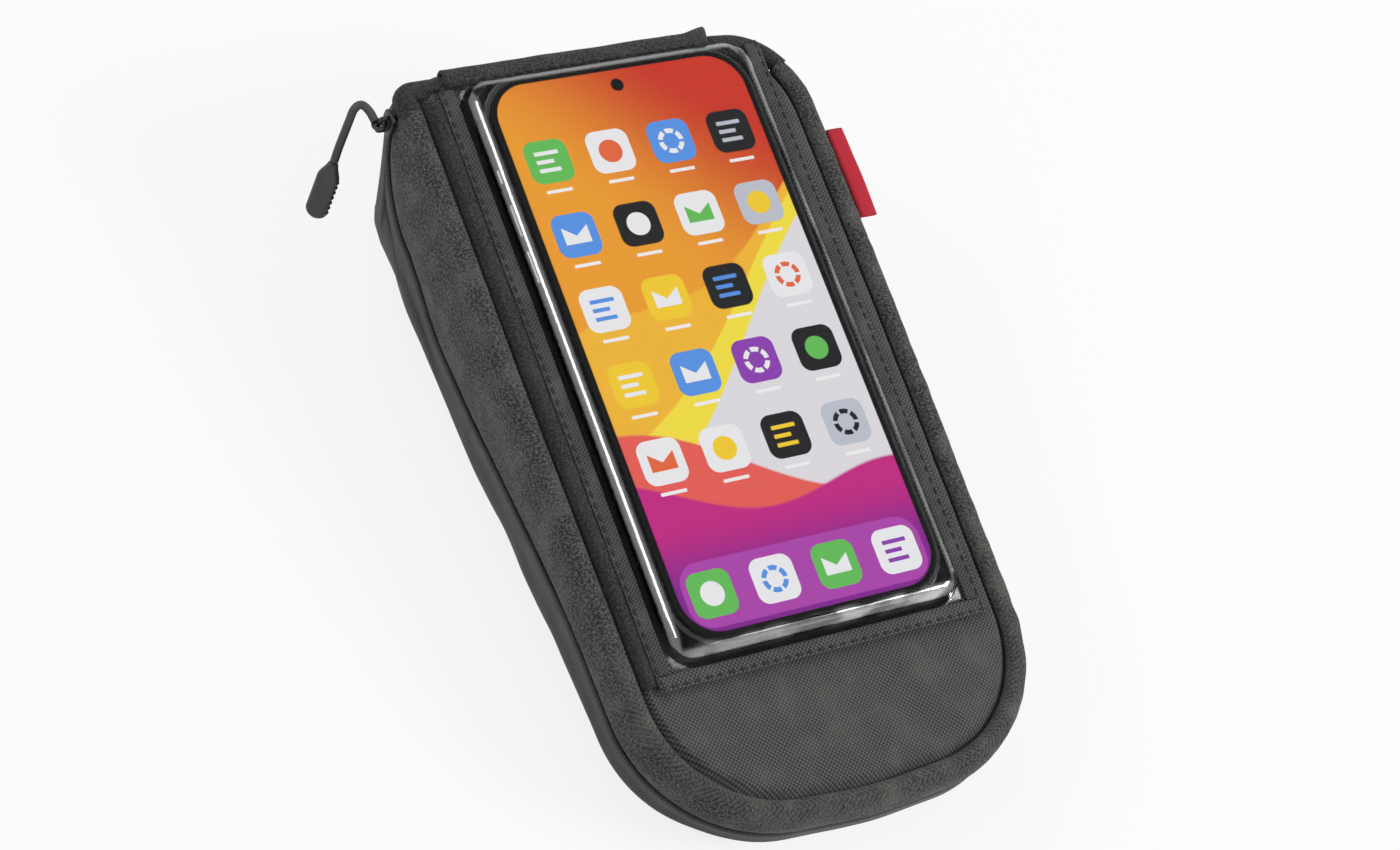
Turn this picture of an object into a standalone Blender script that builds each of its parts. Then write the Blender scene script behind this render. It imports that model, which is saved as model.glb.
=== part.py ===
"""Bike phone bag: a wedge-shaped bag for the handlebar whose hinged lid is a clear-fronted phone pocket.

Two frames are used. The lid frame has its origin at the middle of the phone's display, +X to the rider's right,
+Y away from the rider along the phone, and +Z out of the display. The base frame is the world: its origin is the
middle of the underside of the adapter plate, and the lid frame leans in it by the wedge angle.
Sizes are written in millimetres and become metres where a mesh is made.
"""

import math

import bmesh
import bpy
from mathutils import Matrix, Vector

MM = 0.001
CLEARANCE = 0.3
TINY_MERGE = 0.00001

# Phone that the pocket is made for
PHONE_LENGTH = 158.0
PHONE_WIDTH = 77.8
PHONE_THICKNESS = 8.1
PHONE_CORNER = 13.0
PHONE_EDGE = 2.0
DISPLAY_GLASS = 0.9
DISPLAY_INSET = 1.6

# Lid: top panel, clear window and pocket
PANEL_DEPTH = 5.5
PANEL_THICKNESS = 1.2
PANEL_FAR_MARGIN = 5.0
PANEL_FAR_LEFT_CORNER = 9.0
PANEL_FAR_RIGHT_CORNER = 27.0
WINDOW_SIDE_ROOM = 3.1
WINDOW_FAR_ROOM = 1.0
WINDOW_RIDER_ROOM = 2.2
WINDOW_CORNER = 8.0
FILM_THICKNESS = 0.5
FILM_LIFT = 0.4
FILM_FLANGE = 3.6
FILM_SHOULDER = 2.4
FILM_SHOULDER_BEND = 0.84
FILM_SHOULDER_FAR = 1.44
FILM_LEAN = 0.4
FILM_LEAN_FAR = 0.2
WINDOW_TAPE_WIDTH = 4.0
WINDOW_TAPE_THICKNESS = 0.6
MOUTH_BINDING_WIDTH = 5.5
MOUTH_BINDING_PAST_LEFT = 2.1
MOUTH_BINDING_SHORT_RIGHT = 6.9
MOUTH_BINDING_FOLD = 0.9
MOUTH_BINDING_ROLL = 0.8
CLOSURE_WIDTH = 3.4
CLOSURE_HALF_LENGTH = 30.0
CLOSURE_THICKNESS = 0.4
POCKET_FOAM_WIDTH = 4.0
POCKET_ROOM = 1.0
POCKET_BACK_THICKNESS = 1.4
POCKET_BACK_INSET = 1.2

# Wall of the bag, seen from above the lid
LID_SIDE_MARGIN = 18.2
LID_FAR_MARGIN = 3.8
LID_RIDER_MARGIN = 46.6
WALL_TAPER = 1.7
WALL_TAPER_START = 0.0
WALL_RIDER_BOW = 4.0
WALL_FAR_LEFT_CORNER = 5.0
WALL_FAR_RIGHT_CORNER = 22.0
WALL_RIDER_CORNER = 38.0
TAPER_RADIUS = 300.0
BOW_RADIUS = 110.0
FABRIC = 1.2
RIM_WIDTH = 4.9
RIM_CREST = 0.5
RIM_CREST_INSET = 3.04
RIM_OUTER_INSET = 1.37
RIM_OUTER_RISE = 0.2
RIM_TUCK = 1.6
RIM_DROP = 3.0
SIDE_BULGE = 1.4

# Wedge, base and tray
WEDGE = math.radians(8.57)
DEPTH = 42.0
BASE_SIDE_INSET = 10.6
BASE_TAPER = 2.5
BASE_FAR_INSET = 20.8
BASE_RIDER_INSET = 12.6
BASE_CORNER = 24.0
BASE_RIDER_CORNER = 30.0
SHOULDER_FAR_INSET = 8.3
SHOULDER_LEFT_CORNER = 14.0
SHOULDER_BULGE = 0.7
BASE_ROUNDING = 12.0
BASE_ROUNDING_SHARE = 0.5
STRAIGHT_SHARE = 0.9
BASE_FABRIC = 1.6
BOARD_THICKNESS = 1.6
BOARD_INSET = 5.0
FAR_WALL_DROP = 4.3

# Zip between the lid's side band and the tray
ZIP_ARC_RADIUS = 25.0
ZIP_ARC_MARGIN = 0.8
ZIP_TOP = -6.0
ZIP_SLOT = 0.9
COIL_GAP = 0.85
COIL_RADIUS = 0.8
ZIP_TAPE = 0.5
ZIP_TAPE_WIDTH = 4.6
ZIP_TAPE_END_WIDTH = 1.3
TRAY_LOW_Y = 20.0
TRAY_LOW = 13.0
TRAY_MIDDLE_Y = -50.0
TRAY_MIDDLE = 15.0
TRAY_RIDER = 8.6
ZIP_STOP_LENGTH = 1.5

# Slider and its pull
SLIDER_REST_ANGLE = math.radians(13.0)
SLIDER_LENGTH = 7.0
SLIDER_WIDTH = 5.4
SLIDER_PLATE = 1.0
SLIDER_BLADE = 0.5
SLIDER_ROOM = 0.9
SLIDER_EDGE = 0.2
BAIL_WIRE = 1.3
BAIL_HEIGHT = 2.6
BAIL_SPAN = 4.4
PULL_STEM_DIAMETER = 2.2
PULL_STEM_ROUTE = (
    (-1.05, 0.84, 1.02), (-1.95, 3.34, 1.82), (-3.55, 5.14, 2.32), (-5.35, 4.84, 1.22),
    (-6.75, 2.84, -1.48), (-7.75, 1.04, -5.28), (-8.55, -0.56, -9.08), (-9.15, -2.06, -12.48),
)
PULL_GRIP_LENGTH = 18.4
PULL_GRIP_WIDTH = 6.0
PULL_GRIP_THICKNESS = 3.4
PULL_GRIP_CORNER = 2.95
PULL_GRIP_EDGE = 0.9
PULL_GRIP_GAP = 0.45
PULL_GRIP_TIP = (-12.15, -8.96, -30.78)
PULL_GRIP_FACE = (-0.468, -0.309, 0.828)

# Label in the right-hand seam
LABEL_FAR_INSET = 30.8
LABEL_LENGTH = 26.0
LABEL_REACH = 4.8
LABEL_THICKNESS = 1.0
LABEL_DROP = 1.4

# Fold between the far wall and the lid
HINGE_OUTSET = 0.7
HINGE_TAPE_MARGIN = 1.1
HINGE_TAPE_HEIGHT = 10.0
HINGE_TAPE_THICKNESS = 0.8
HINGE_TAPE_DROP = 1.0

# Adapter plate under the base and its screws
ADAPTER_Y = -18.0
ADAPTER_WIDTH = 56.0
ADAPTER_LENGTH = 92.0
ADAPTER_THICKNESS = 5.0
ADAPTER_CORNER = 8.0
ADAPTER_EDGE = 0.8
SCREW_SPACING_X = 40.0
SCREW_SPACING_Y = 72.0
SCREW_RADIUS = 2.0
SCREW_HEAD_RADIUS = 3.8
SCREW_HEAD_HEIGHT = 2.2
SCREW_HEAD_RECESS = 0.4
NUT_FLATS_RADIUS = 3.8
NUT_HEIGHT = 2.8
SCREW_PROUD = 0.6

# Number of segments on the curves
CORNER_STEPS = 8
RIDER_CORNER_STEPS = 11
SOFT_BEND_STEPS = 3
LONGEST_STEP = 15.0
ZIP_ARC_ANGLES = (2.0, 7.0, 13.0, 20.0, 30.0, 42.0, 56.0, 72.0, 90.0)
BAND_END_ANGLE = 13.0
COIL_END_ANGLE = 7.0

# Colours and finishes as they look in daylight
FINISHES = {
    "woven_fabric": ((0.040, 0.040, 0.042), 0.85, 0.0),
    "fleece_fabric": ((0.032, 0.032, 0.034), 0.95, 0.0),
    "tray_fabric": ((0.045, 0.045, 0.048), 0.80, 0.0),
    "binding": ((0.028, 0.028, 0.030), 0.85, 0.0),
    "film": ((0.80, 0.82, 0.84), 0.08, 0.0),
    "foam": ((0.020, 0.020, 0.020), 0.95, 0.0),
    "label_red": ((0.55, 0.006, 0.030), 0.60, 0.0),
    "zip_tape": ((0.020, 0.020, 0.021), 0.85, 0.0),
    "zip_plastic": ((0.015, 0.015, 0.016), 0.45, 0.0),
    "slider_metal": ((0.030, 0.030, 0.032), 0.35, 0.8),
    "pull_rubber": ((0.022, 0.022, 0.024), 0.55, 0.0),
    "adapter_plastic": ((0.018, 0.018, 0.019), 0.50, 0.0),
    "steel": ((0.55, 0.55, 0.56), 0.30, 1.0),
    "phone_metal": ((0.42, 0.43, 0.45), 0.22, 1.0),
    "phone_glass": ((0.90, 0.30, 0.20), 0.05, 0.0),
}


# Sizes worked out from the driving ones
WALL_HALF_FAR = PHONE_WIDTH / 2 + LID_SIDE_MARGIN
WALL_HALF_RIDER = WALL_HALF_FAR - WALL_TAPER
WALL_FAR = PHONE_LENGTH / 2 + LID_FAR_MARGIN
WALL_RIDER = -PHONE_LENGTH / 2 - LID_RIDER_MARGIN
BASE_HALF_FAR = WALL_HALF_FAR - BASE_SIDE_INSET
BASE_HALF_RIDER = BASE_HALF_FAR - BASE_TAPER
BASE_FAR = WALL_FAR - BASE_FAR_INSET
BASE_RIDER = WALL_RIDER + BASE_RIDER_INSET
SHOULDER_FAR = WALL_FAR - SHOULDER_FAR_INSET
MOUTH_BINDING_LEFT = -PHONE_WIDTH / 2 - MOUTH_BINDING_PAST_LEFT
MOUTH_BINDING_RIGHT = PHONE_WIDTH / 2 - MOUTH_BINDING_SHORT_RIGHT
HINGE_TAPE_HALF_LENGTH = WALL_HALF_FAR - WALL_FAR_RIGHT_CORNER - HINGE_TAPE_MARGIN
PANEL_HALF_FAR = WALL_HALF_FAR - RIM_WIDTH - FABRIC / 2 - CLEARANCE
PANEL_HALF_RIDER = WALL_HALF_RIDER - RIM_WIDTH - FABRIC / 2 - CLEARANCE
PANEL_FAR = PHONE_LENGTH / 2 + PANEL_FAR_MARGIN
PANEL_RIDER = WALL_RIDER + RIM_WIDTH + FABRIC / 2 + CLEARANCE
PANEL_RIDER_CORNER = WALL_RIDER_CORNER - RIM_WIDTH
WINDOW_HALF = PHONE_WIDTH / 2 + WINDOW_SIDE_ROOM
WINDOW_FAR = PHONE_LENGTH / 2 + WINDOW_FAR_ROOM
WINDOW_RIDER = -PHONE_LENGTH / 2 - WINDOW_RIDER_ROOM
FLANGE_Z = -PANEL_DEPTH + CLEARANCE + FILM_THICKNESS / 2
FILM_TOP_Z = FILM_LIFT + FILM_THICKNESS / 2
TAPE_LOW_Z = FLANGE_Z + FILM_THICKNESS / 2 + CLEARANCE
PANEL_UNDERSIDE = -PANEL_DEPTH - PANEL_THICKNESS
POCKET_FLOOR_Z = -PHONE_THICKNESS - CLEARANCE
ZIP_ARC_Y = WALL_FAR - WALL_FAR_LEFT_CORNER - ZIP_ARC_RADIUS - ZIP_ARC_MARGIN
SLIDER_SPOT = Vector((
    -WALL_HALF_FAR,
    ZIP_ARC_Y + ZIP_ARC_RADIUS * math.cos(SLIDER_REST_ANGLE),
    ZIP_TOP - ZIP_ARC_RADIUS * math.sin(SLIDER_REST_ANGLE),
))
BAIL_REACH = FABRIC / 2 + SLIDER_ROOM + SLIDER_PLATE + CLEARANCE + BAIL_HEIGHT - BAIL_WIRE / 2
BAIL_SPOT = SLIDER_SPOT - Vector((BAIL_REACH, 0.0, 0.0))
FAR_WALL_TOP = ZIP_TOP - FAR_WALL_DROP
HINGE_Y = WALL_FAR + FABRIC / 2 + HINGE_OUTSET
HINGE_Z = FAR_WALL_TOP + CLEARANCE
ZIP_TAPE_INSET = BASE_FABRIC / 2 + CLEARANCE + ZIP_TAPE / 2
COIL_INSET = ZIP_TAPE_INSET + ZIP_TAPE / 2 + CLEARANCE + COIL_RADIUS
BASE_MIDDLE_HEIGHT = ADAPTER_THICKNESS + CLEARANCE + BASE_FABRIC / 2


def base_z(y):
    """Height of the base fabric's middle plane in the lid frame."""
    return -DEPTH - math.tan(WEDGE) * y


def eased(share):
    share = min(max(share, 0.0), 1.0)
    return share * share * (3.0 - 2.0 * share)


def tray_height(y):
    """Height of the zip above the base, which dips ahead of the corner and runs out at the rider's end."""
    corner_height = ZIP_TOP - ZIP_ARC_RADIUS - base_z(ZIP_ARC_Y)
    if y > TRAY_LOW_Y:
        return TRAY_LOW + (corner_height - TRAY_LOW) * eased((y - TRAY_LOW_Y) / (ZIP_ARC_Y - TRAY_LOW_Y))
    if y > TRAY_MIDDLE_Y:
        return TRAY_MIDDLE + (TRAY_LOW - TRAY_MIDDLE) * eased((y - TRAY_MIDDLE_Y) / (TRAY_LOW_Y - TRAY_MIDDLE_Y))
    return TRAY_RIDER + (TRAY_MIDDLE - TRAY_RIDER) * eased((y - WALL_RIDER) / (TRAY_MIDDLE_Y - WALL_RIDER))


class Outline:
    """A closed run of points in plan, read by place in the list or by distance along it."""

    def __init__(self, points):
        self.points = points
        self.count = len(points)
        self.starts = [0.0]
        for index in range(self.count):
            step = (points[(index + 1) % self.count] - points[index]).length
            self.starts.append(self.starts[-1] + step)
        self.length = self.starts[-1]

    def place(self, distance):
        distance = distance % self.length
        for index in range(self.count):
            if distance <= self.starts[index + 1]:
                step = self.starts[index + 1] - self.starts[index]
                return index + (distance - self.starts[index]) / step
        return float(self.count)

    def at(self, place):
        index = int(place) % self.count
        share = place - int(place)
        return self.points[index].lerp(self.points[(index + 1) % self.count], share)

    def corner_normal(self, index):
        before = self.points[index % self.count] - self.points[(index - 1) % self.count]
        after = self.points[(index + 1) % self.count] - self.points[index % self.count]
        along = before.normalized() + after.normalized()
        return Vector((-along.y, along.x)).normalized()

    def normal(self, place):
        """Direction out of the outline, which runs anticlockwise as the left hand side comes first."""
        index = int(place)
        share = place - index
        return -self.corner_normal(index).lerp(self.corner_normal(index + 1), share).normalized()


def filleted(vertices):
    """Rounds each vertex (point, radius, segments) of a closed polygon with an arc."""
    points = []
    count = len(vertices)
    for index in range(count):
        corner, radius, steps = vertices[index]
        corner = Vector(corner)
        back = (Vector(vertices[index - 1][0]) - corner).normalized()
        ahead = (Vector(vertices[(index + 1) % count][0]) - corner).normalized()
        half_angle = back.angle(ahead) / 2
        middle = (back + ahead).normalized()
        center = corner + middle * (radius / math.sin(half_angle))
        start = corner + back * (radius / math.tan(half_angle)) - center
        turn = math.pi - 2 * half_angle
        side = 1.0 if back.x * ahead.y - back.y * ahead.x < 0 else -1.0
        for step in range(steps + 1):
            angle = side * turn * step / steps
            cosine = math.cos(angle)
            sine = math.sin(angle)
            points.append(center + Vector((start.x * cosine - start.y * sine, start.x * sine + start.y * cosine)))
    return points


def bag_outline(half_far, half_rider, far, rider, left_corner, right_corner, rider_corner):
    """Outline of the bag in plan from the far left corner, down the left side and round the rider's end."""
    return Outline(filleted((
        ((-half_far, far), left_corner, CORNER_STEPS),
        ((-half_far, WALL_TAPER_START), TAPER_RADIUS, SOFT_BEND_STEPS),
        ((-half_rider, rider + WALL_RIDER_BOW), rider_corner, RIDER_CORNER_STEPS),
        ((0.0, rider), BOW_RADIUS, SOFT_BEND_STEPS),
        ((half_rider, rider + WALL_RIDER_BOW), rider_corner, RIDER_CORNER_STEPS),
        ((half_far, WALL_TAPER_START), TAPER_RADIUS, SOFT_BEND_STEPS),
        ((half_far, far), right_corner, CORNER_STEPS),
    )))


WALL = bag_outline(
    WALL_HALF_FAR, WALL_HALF_RIDER, WALL_FAR, WALL_RIDER,
    WALL_FAR_LEFT_CORNER, WALL_FAR_RIGHT_CORNER, WALL_RIDER_CORNER,
)
SHOULDER = bag_outline(
    WALL_HALF_FAR + SHOULDER_BULGE, WALL_HALF_RIDER + SHOULDER_BULGE, SHOULDER_FAR, WALL_RIDER,
    SHOULDER_LEFT_CORNER, WALL_FAR_RIGHT_CORNER, WALL_RIDER_CORNER,
)
BASE = bag_outline(
    BASE_HALF_FAR, BASE_HALF_RIDER, BASE_FAR, BASE_RIDER, BASE_CORNER, BASE_CORNER, BASE_RIDER_CORNER,
)


def wall_distance(side, y):
    """Distance along the wall at which its straight side passes y."""
    this_side = [index for index in range(WALL.count) if WALL.points[index].x * side > 0]
    nearest = min(this_side, key=lambda index: abs(WALL.points[index].y - y))
    return WALL.starts[nearest] - side * (WALL.points[nearest].y - y)


LEFT_ARC = wall_distance(-1, ZIP_ARC_Y)
RIGHT_ARC = wall_distance(1, ZIP_ARC_Y)


def zip_z(distance, shift=0.0):
    """Height of the zip's line, or of a line beside it that lies shift nearer to the lid."""
    radius = ZIP_ARC_RADIUS - shift
    for center, past in ((LEFT_ARC, LEFT_ARC - distance), (RIGHT_ARC, distance - RIGHT_ARC)):
        if past > 0.0:
            return ZIP_TOP - math.sqrt(max(radius * radius - past * past, 0.0))
    y = WALL.at(WALL.place(distance)).y
    return base_z(y) + tray_height(y) + shift


def on_wall(distance, z, inset=0.0):
    """Point of the wall at a distance along it and a height, moved inwards by inset."""
    place = WALL.place(distance)
    flat = WALL.at(place) - WALL.normal(place) * inset
    return Vector((flat.x, flat.y, z))


def side_distances():
    """Stations along the wall between the two zip corners, closer on the curves."""
    stations = [start for start in WALL.starts[:-1] if LEFT_ARC + 1.0 < start < RIGHT_ARC - 1.0]
    stations = [LEFT_ARC] + stations + [RIGHT_ARC]
    dense = []
    for before, after in zip(stations, stations[1:]):
        pieces = max(1, math.ceil((after - before) / LONGEST_STEP))
        dense += [before + (after - before) * step / pieces for step in range(pieces)]
    return dense + [RIGHT_ARC]


def zip_distances(radius, first_angle=0.0):
    """Stations for a line beside the zip: its left corner arc, the sides and its right corner arc."""
    angles = [angle for angle in ZIP_ARC_ANGLES[:-1] if angle >= first_angle]
    reach = [radius * math.cos(math.radians(angle)) for angle in angles]
    left = [LEFT_ARC - step for step in reach]
    right = [RIGHT_ARC + step for step in reversed(reach)]
    return left + side_distances() + right


def material(name):
    made = bpy.data.materials.get(name)
    if made is None:
        color, roughness, metallic = FINISHES[name]
        made = bpy.data.materials.new(name)
        made.use_nodes = True
        surface = made.node_tree.nodes["Principled BSDF"]
        surface.inputs["Base Color"].default_value = (*color, 1.0)
        surface.inputs["Roughness"].default_value = roughness
        surface.inputs["Metallic"].default_value = metallic
        made.diffuse_color = (*color, 1.0)
    return made


def place_object(name, data, finish, parent):
    made = bpy.data.objects.new(name, data)
    made.data.materials.append(material(finish))
    made.parent = parent
    PARTS.objects.link(made)
    return made


def empty(name, matrix, parent=None):
    made = bpy.data.objects.new(name, None)
    made.empty_display_size = 0.01
    made.parent = parent
    made.matrix_basis = matrix
    PARTS.objects.link(made)
    return made


def sheet(name, rows, thickness, finish, parent, closed=False, filled=False):
    """Fabric or film: a grid of rows of points that Solidify turns into a wall of even thickness."""
    mesh = bpy.data.meshes.new(name)
    grid = bmesh.new()
    grid_rows = [[grid.verts.new(Vector(point) * MM) for point in row] for row in rows]
    columns = len(rows[0])
    for upper, lower in zip(grid_rows, grid_rows[1:]):
        for column in range(columns if closed else columns - 1):
            beside = (column + 1) % columns
            grid.faces.new((upper[column], lower[column], lower[beside], upper[beside]))
    if filled:
        grid.faces.new(grid_rows[-1])
    bmesh.ops.recalc_face_normals(grid, faces=grid.faces)
    grid.to_mesh(mesh)
    grid.free()
    mesh.shade_smooth()
    made = place_object(name, mesh, finish, parent)
    wall = made.modifiers.new("Thickness", "SOLIDIFY")
    wall.thickness = thickness * MM
    wall.offset = 0.0
    return made


def round_edges(made, edge, segments=2):
    rounding = made.modifiers.new("Edge", "BEVEL")
    rounding.width = edge * MM
    rounding.segments = segments
    rounding.limit_method = "ANGLE"
    rounding.angle_limit = math.radians(50)


def plate(name, outlines, low, high, finish, parent, edge=0.0):
    """Flat piece: a filled outline, with any holes after it, from height low to height high."""
    curve = bpy.data.curves.new(name, "CURVE")
    curve.dimensions = "2D"
    curve.fill_mode = "BOTH"
    curve.extrude = (high - low) / 2 * MM
    for outline in outlines:
        spline = curve.splines.new("POLY")
        spline.points.add(len(outline) - 1)
        spline.use_cyclic_u = True
        for spot, point in zip(spline.points, outline):
            spot.co = (point[0] * MM, point[1] * MM, 0.0, 1.0)
    made = place_object(name, curve, finish, parent)
    made.location.z = (low + high) / 2 * MM
    if edge > 0.0:
        weld = made.modifiers.new("Close", "WELD")
        weld.merge_threshold = TINY_MERGE
        round_edges(made, edge)
    return made


def tube(name, points, radius, finish, parent, resolution=2):
    """Round wire, coil or stem along points."""
    curve = bpy.data.curves.new(name, "CURVE")
    curve.dimensions = "3D"
    curve.bevel_depth = radius * MM
    curve.bevel_resolution = resolution
    curve.resolution_u = 1
    curve.use_fill_caps = True
    spline = curve.splines.new("POLY")
    spline.points.add(len(points) - 1)
    for spot, point in zip(spline.points, points):
        spot.co = (point[0] * MM, point[1] * MM, point[2] * MM, 1.0)
    return place_object(name, curve, finish, parent)


def turned(name, profile, finish, parent, location):
    """Round piece: a profile (radius, height), outer side from top to bottom, turned about the axis."""
    mesh = bpy.data.meshes.new(name)
    points = [(radius * MM, 0.0, height * MM) for radius, height in profile]
    mesh.from_pydata(points, [(index, index + 1) for index in range(len(points) - 1)], [])
    made = place_object(name, mesh, finish, parent)
    made.location = Vector(location) * MM
    turn = made.modifiers.new("Turn", "SCREW")
    turn.steps = 12
    turn.render_steps = 12
    turn.use_merge_vertices = True
    turn.merge_threshold = TINY_MERGE
    return made


def rounded_rectangle(left, right, low, high, corner, steps=5):
    return [point[:] for point in filleted((
        ((left, high), corner, steps), ((left, low), corner, steps),
        ((right, low), corner, steps), ((right, high), corner, steps),
    ))]


def circle(x, y, radius, steps=12):
    turns = [2 * math.pi * step / steps for step in range(steps)]
    return [(x + radius * math.cos(turn), y + radius * math.sin(turn)) for turn in turns]


def smooth_route(points, steps):
    """Curve through the stem's points, read at even shares of each stretch."""
    points = [Vector(point) for point in points]
    ends = [2 * points[0] - points[1]] + points + [2 * points[-1] - points[-2]]
    route = []
    for before, start, finish, after in zip(ends, ends[1:], ends[2:], ends[3:]):
        for step in range(steps):
            share = step / steps
            bend = 2 * before - 5 * start + 4 * finish - after
            swing = 3 * start - before - 3 * finish + after
            route.append((2 * start + (finish - before) * share + bend * share ** 2 + swing * share ** 3) / 2)
    return route + [points[-1]]


def aligned(origin, along, face):
    """Matrix in millimetre places with X along a direction and Z as near as can be to a face's direction."""
    x_axis = Vector(along).normalized()
    y_axis = Vector(face).cross(x_axis).normalized()
    z_axis = x_axis.cross(y_axis)
    matrix = Matrix((x_axis, y_axis, z_axis)).transposed().to_4x4()
    return Matrix.Translation(Vector(origin) * MM) @ matrix


def make_lid_pocket(lid):
    """Top panel with its window, the clear film, the tapes sewn over the film's edge and the phone's pocket."""
    panel_outline = bag_outline(
        PANEL_HALF_FAR, PANEL_HALF_RIDER, PANEL_FAR, PANEL_RIDER,
        PANEL_FAR_LEFT_CORNER, PANEL_FAR_RIGHT_CORNER, PANEL_RIDER_CORNER,
    ).points
    window = rounded_rectangle(-WINDOW_HALF, WINDOW_HALF, WINDOW_RIDER, WINDOW_FAR, WINDOW_CORNER)
    plate("top_panel", (panel_outline, window), PANEL_UNDERSIDE, -PANEL_DEPTH, "woven_fabric", lid)

    flange = FILM_FLANGE
    far_flange = PANEL_FAR - WINDOW_FAR - CLEARANCE - MOUTH_BINDING_FOLD
    loops = (
        (flange, far_flange, FLANGE_Z),
        (0.0, 0.0, FLANGE_Z),
        (-FILM_LEAN, -FILM_LEAN_FAR, (FLANGE_Z + FILM_TOP_Z) / 2),
        (-FILM_SHOULDER_BEND, -FILM_LEAN_FAR, FILM_TOP_Z - FILM_SHOULDER_BEND),
        (-FILM_SHOULDER, -FILM_SHOULDER_FAR, FILM_TOP_Z),
    )
    rows = []
    for grow, far_grow, z in loops:
        loop = rounded_rectangle(
            -WINDOW_HALF - grow, WINDOW_HALF + grow, WINDOW_RIDER - grow, WINDOW_FAR + far_grow,
            WINDOW_CORNER + grow,
        )
        rows.append([(x, y, z) for x, y in loop])
    sheet("window_film", rows, FILM_THICKNESS, "film", lid, closed=True, filled=True)

    tape_top = TAPE_LOW_Z + WINDOW_TAPE_THICKNESS
    inner = WINDOW_HALF + CLEARANCE + FILM_THICKNESS / 2
    outer = inner + WINDOW_TAPE_WIDTH
    tape_far = WINDOW_FAR - MOUTH_BINDING_FOLD
    rider_high = WINDOW_RIDER - CLEARANCE - FILM_THICKNESS / 2
    rider_low = rider_high - WINDOW_TAPE_WIDTH
    for name, left, right in (("window_tape_left", -outer, -inner), ("window_tape_right", inner, outer)):
        strip = ((left, rider_high), (right, rider_high), (right, tape_far), (left, tape_far))
        plate(name, (strip,), TAPE_LOW_Z, tape_top, "binding", lid)
    rider_strip = (
        (-outer, rider_low), (outer, rider_low), (outer, rider_high - CLEARANCE), (-outer, rider_high - CLEARANCE),
    )
    plate("window_tape_rider", (rider_strip,), TAPE_LOW_Z, tape_top, "binding", lid)

    foam_inner = PHONE_WIDTH / 2 + POCKET_ROOM
    foam_outer = foam_inner + POCKET_FOAM_WIDTH
    foam_low = -PHONE_LENGTH / 2 - POCKET_ROOM
    foam_far = PHONE_LENGTH / 2
    foam = (
        (-foam_outer, foam_far), (-foam_outer, foam_low - POCKET_FOAM_WIDTH),
        (foam_outer, foam_low - POCKET_FOAM_WIDTH), (foam_outer, foam_far),
        (foam_inner, foam_far), (foam_inner, foam_low), (-foam_inner, foam_low), (-foam_inner, foam_far),
    )
    plate("pocket_foam", (foam,), POCKET_FLOOR_Z + CLEARANCE, PANEL_UNDERSIDE - CLEARANCE, "foam", lid)
    back_outline = bag_outline(
        PANEL_HALF_FAR - POCKET_BACK_INSET, PANEL_HALF_RIDER - POCKET_BACK_INSET, PANEL_FAR,
        PANEL_RIDER + POCKET_BACK_INSET, PANEL_FAR_LEFT_CORNER, PANEL_FAR_RIGHT_CORNER, PANEL_RIDER_CORNER,
    ).points
    back_low = POCKET_FLOOR_Z - POCKET_BACK_THICKNESS
    plate("pocket_back", (back_outline,), back_low, POCKET_FLOOR_Z, "foam", lid)

    hook_high = PANEL_UNDERSIDE - CLEARANCE / 2
    hook_low = hook_high - CLOSURE_THICKNESS
    loop_low = POCKET_FLOOR_Z + CLEARANCE / 2
    closure_far = PANEL_FAR - CLEARANCE
    closure_near = closure_far - CLOSURE_WIDTH
    strip = (
        (-CLOSURE_HALF_LENGTH, closure_near), (CLOSURE_HALF_LENGTH, closure_near),
        (CLOSURE_HALF_LENGTH, closure_far), (-CLOSURE_HALF_LENGTH, closure_far),
    )
    plate("hook_strip", (strip,), hook_low, hook_high, "binding", lid)
    plate("loop_strip", (strip,), loop_low, loop_low + CLOSURE_THICKNESS, "binding", lid)


def make_mouth_binding(lid):
    """Folded tape that wraps the panel's far edge, where the phone goes in."""
    far = PANEL_FAR + CLEARANCE + MOUTH_BINDING_FOLD
    near = far - MOUTH_BINDING_WIDTH + MOUTH_BINDING_FOLD / 2
    low = PANEL_UNDERSIDE - CLOSURE_THICKNESS
    high = FLANGE_Z + FILM_THICKNESS / 2 + CLEARANCE + MOUTH_BINDING_FOLD / 2
    section = (
        (near, high), (far - MOUTH_BINDING_ROLL, high), (far - MOUTH_BINDING_ROLL / 8, high - MOUTH_BINDING_ROLL),
        (far, (high + low) / 2), (far - CLEARANCE, low - CLOSURE_THICKNESS),
    )
    rows = [
        [(MOUTH_BINDING_LEFT + (MOUTH_BINDING_RIGHT - MOUTH_BINDING_LEFT) * step / 4, y, z) for step in range(5)]
        for y, z in section
    ]
    sheet("mouth_binding", rows, MOUTH_BINDING_FOLD, "binding", lid)


def make_phone(lid):
    """The phone in the pocket: its case with rounded edges and its display glass."""
    half_width = PHONE_WIDTH / 2
    half_length = PHONE_LENGTH / 2
    case = rounded_rectangle(-half_width, half_width, -half_length, half_length, PHONE_CORNER, 6)
    case_top = -DISPLAY_GLASS - CLEARANCE
    plate("phone_case", (case,), -PHONE_THICKNESS, case_top, "phone_metal", lid, PHONE_EDGE)
    glass = rounded_rectangle(
        -half_width + DISPLAY_INSET, half_width - DISPLAY_INSET,
        -half_length + DISPLAY_INSET, half_length - DISPLAY_INSET, PHONE_CORNER - DISPLAY_INSET, 6,
    )
    plate("phone_display", (glass,), -DISPLAY_GLASS, 0.0, "phone_glass", lid, DISPLAY_GLASS / 3)


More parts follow.
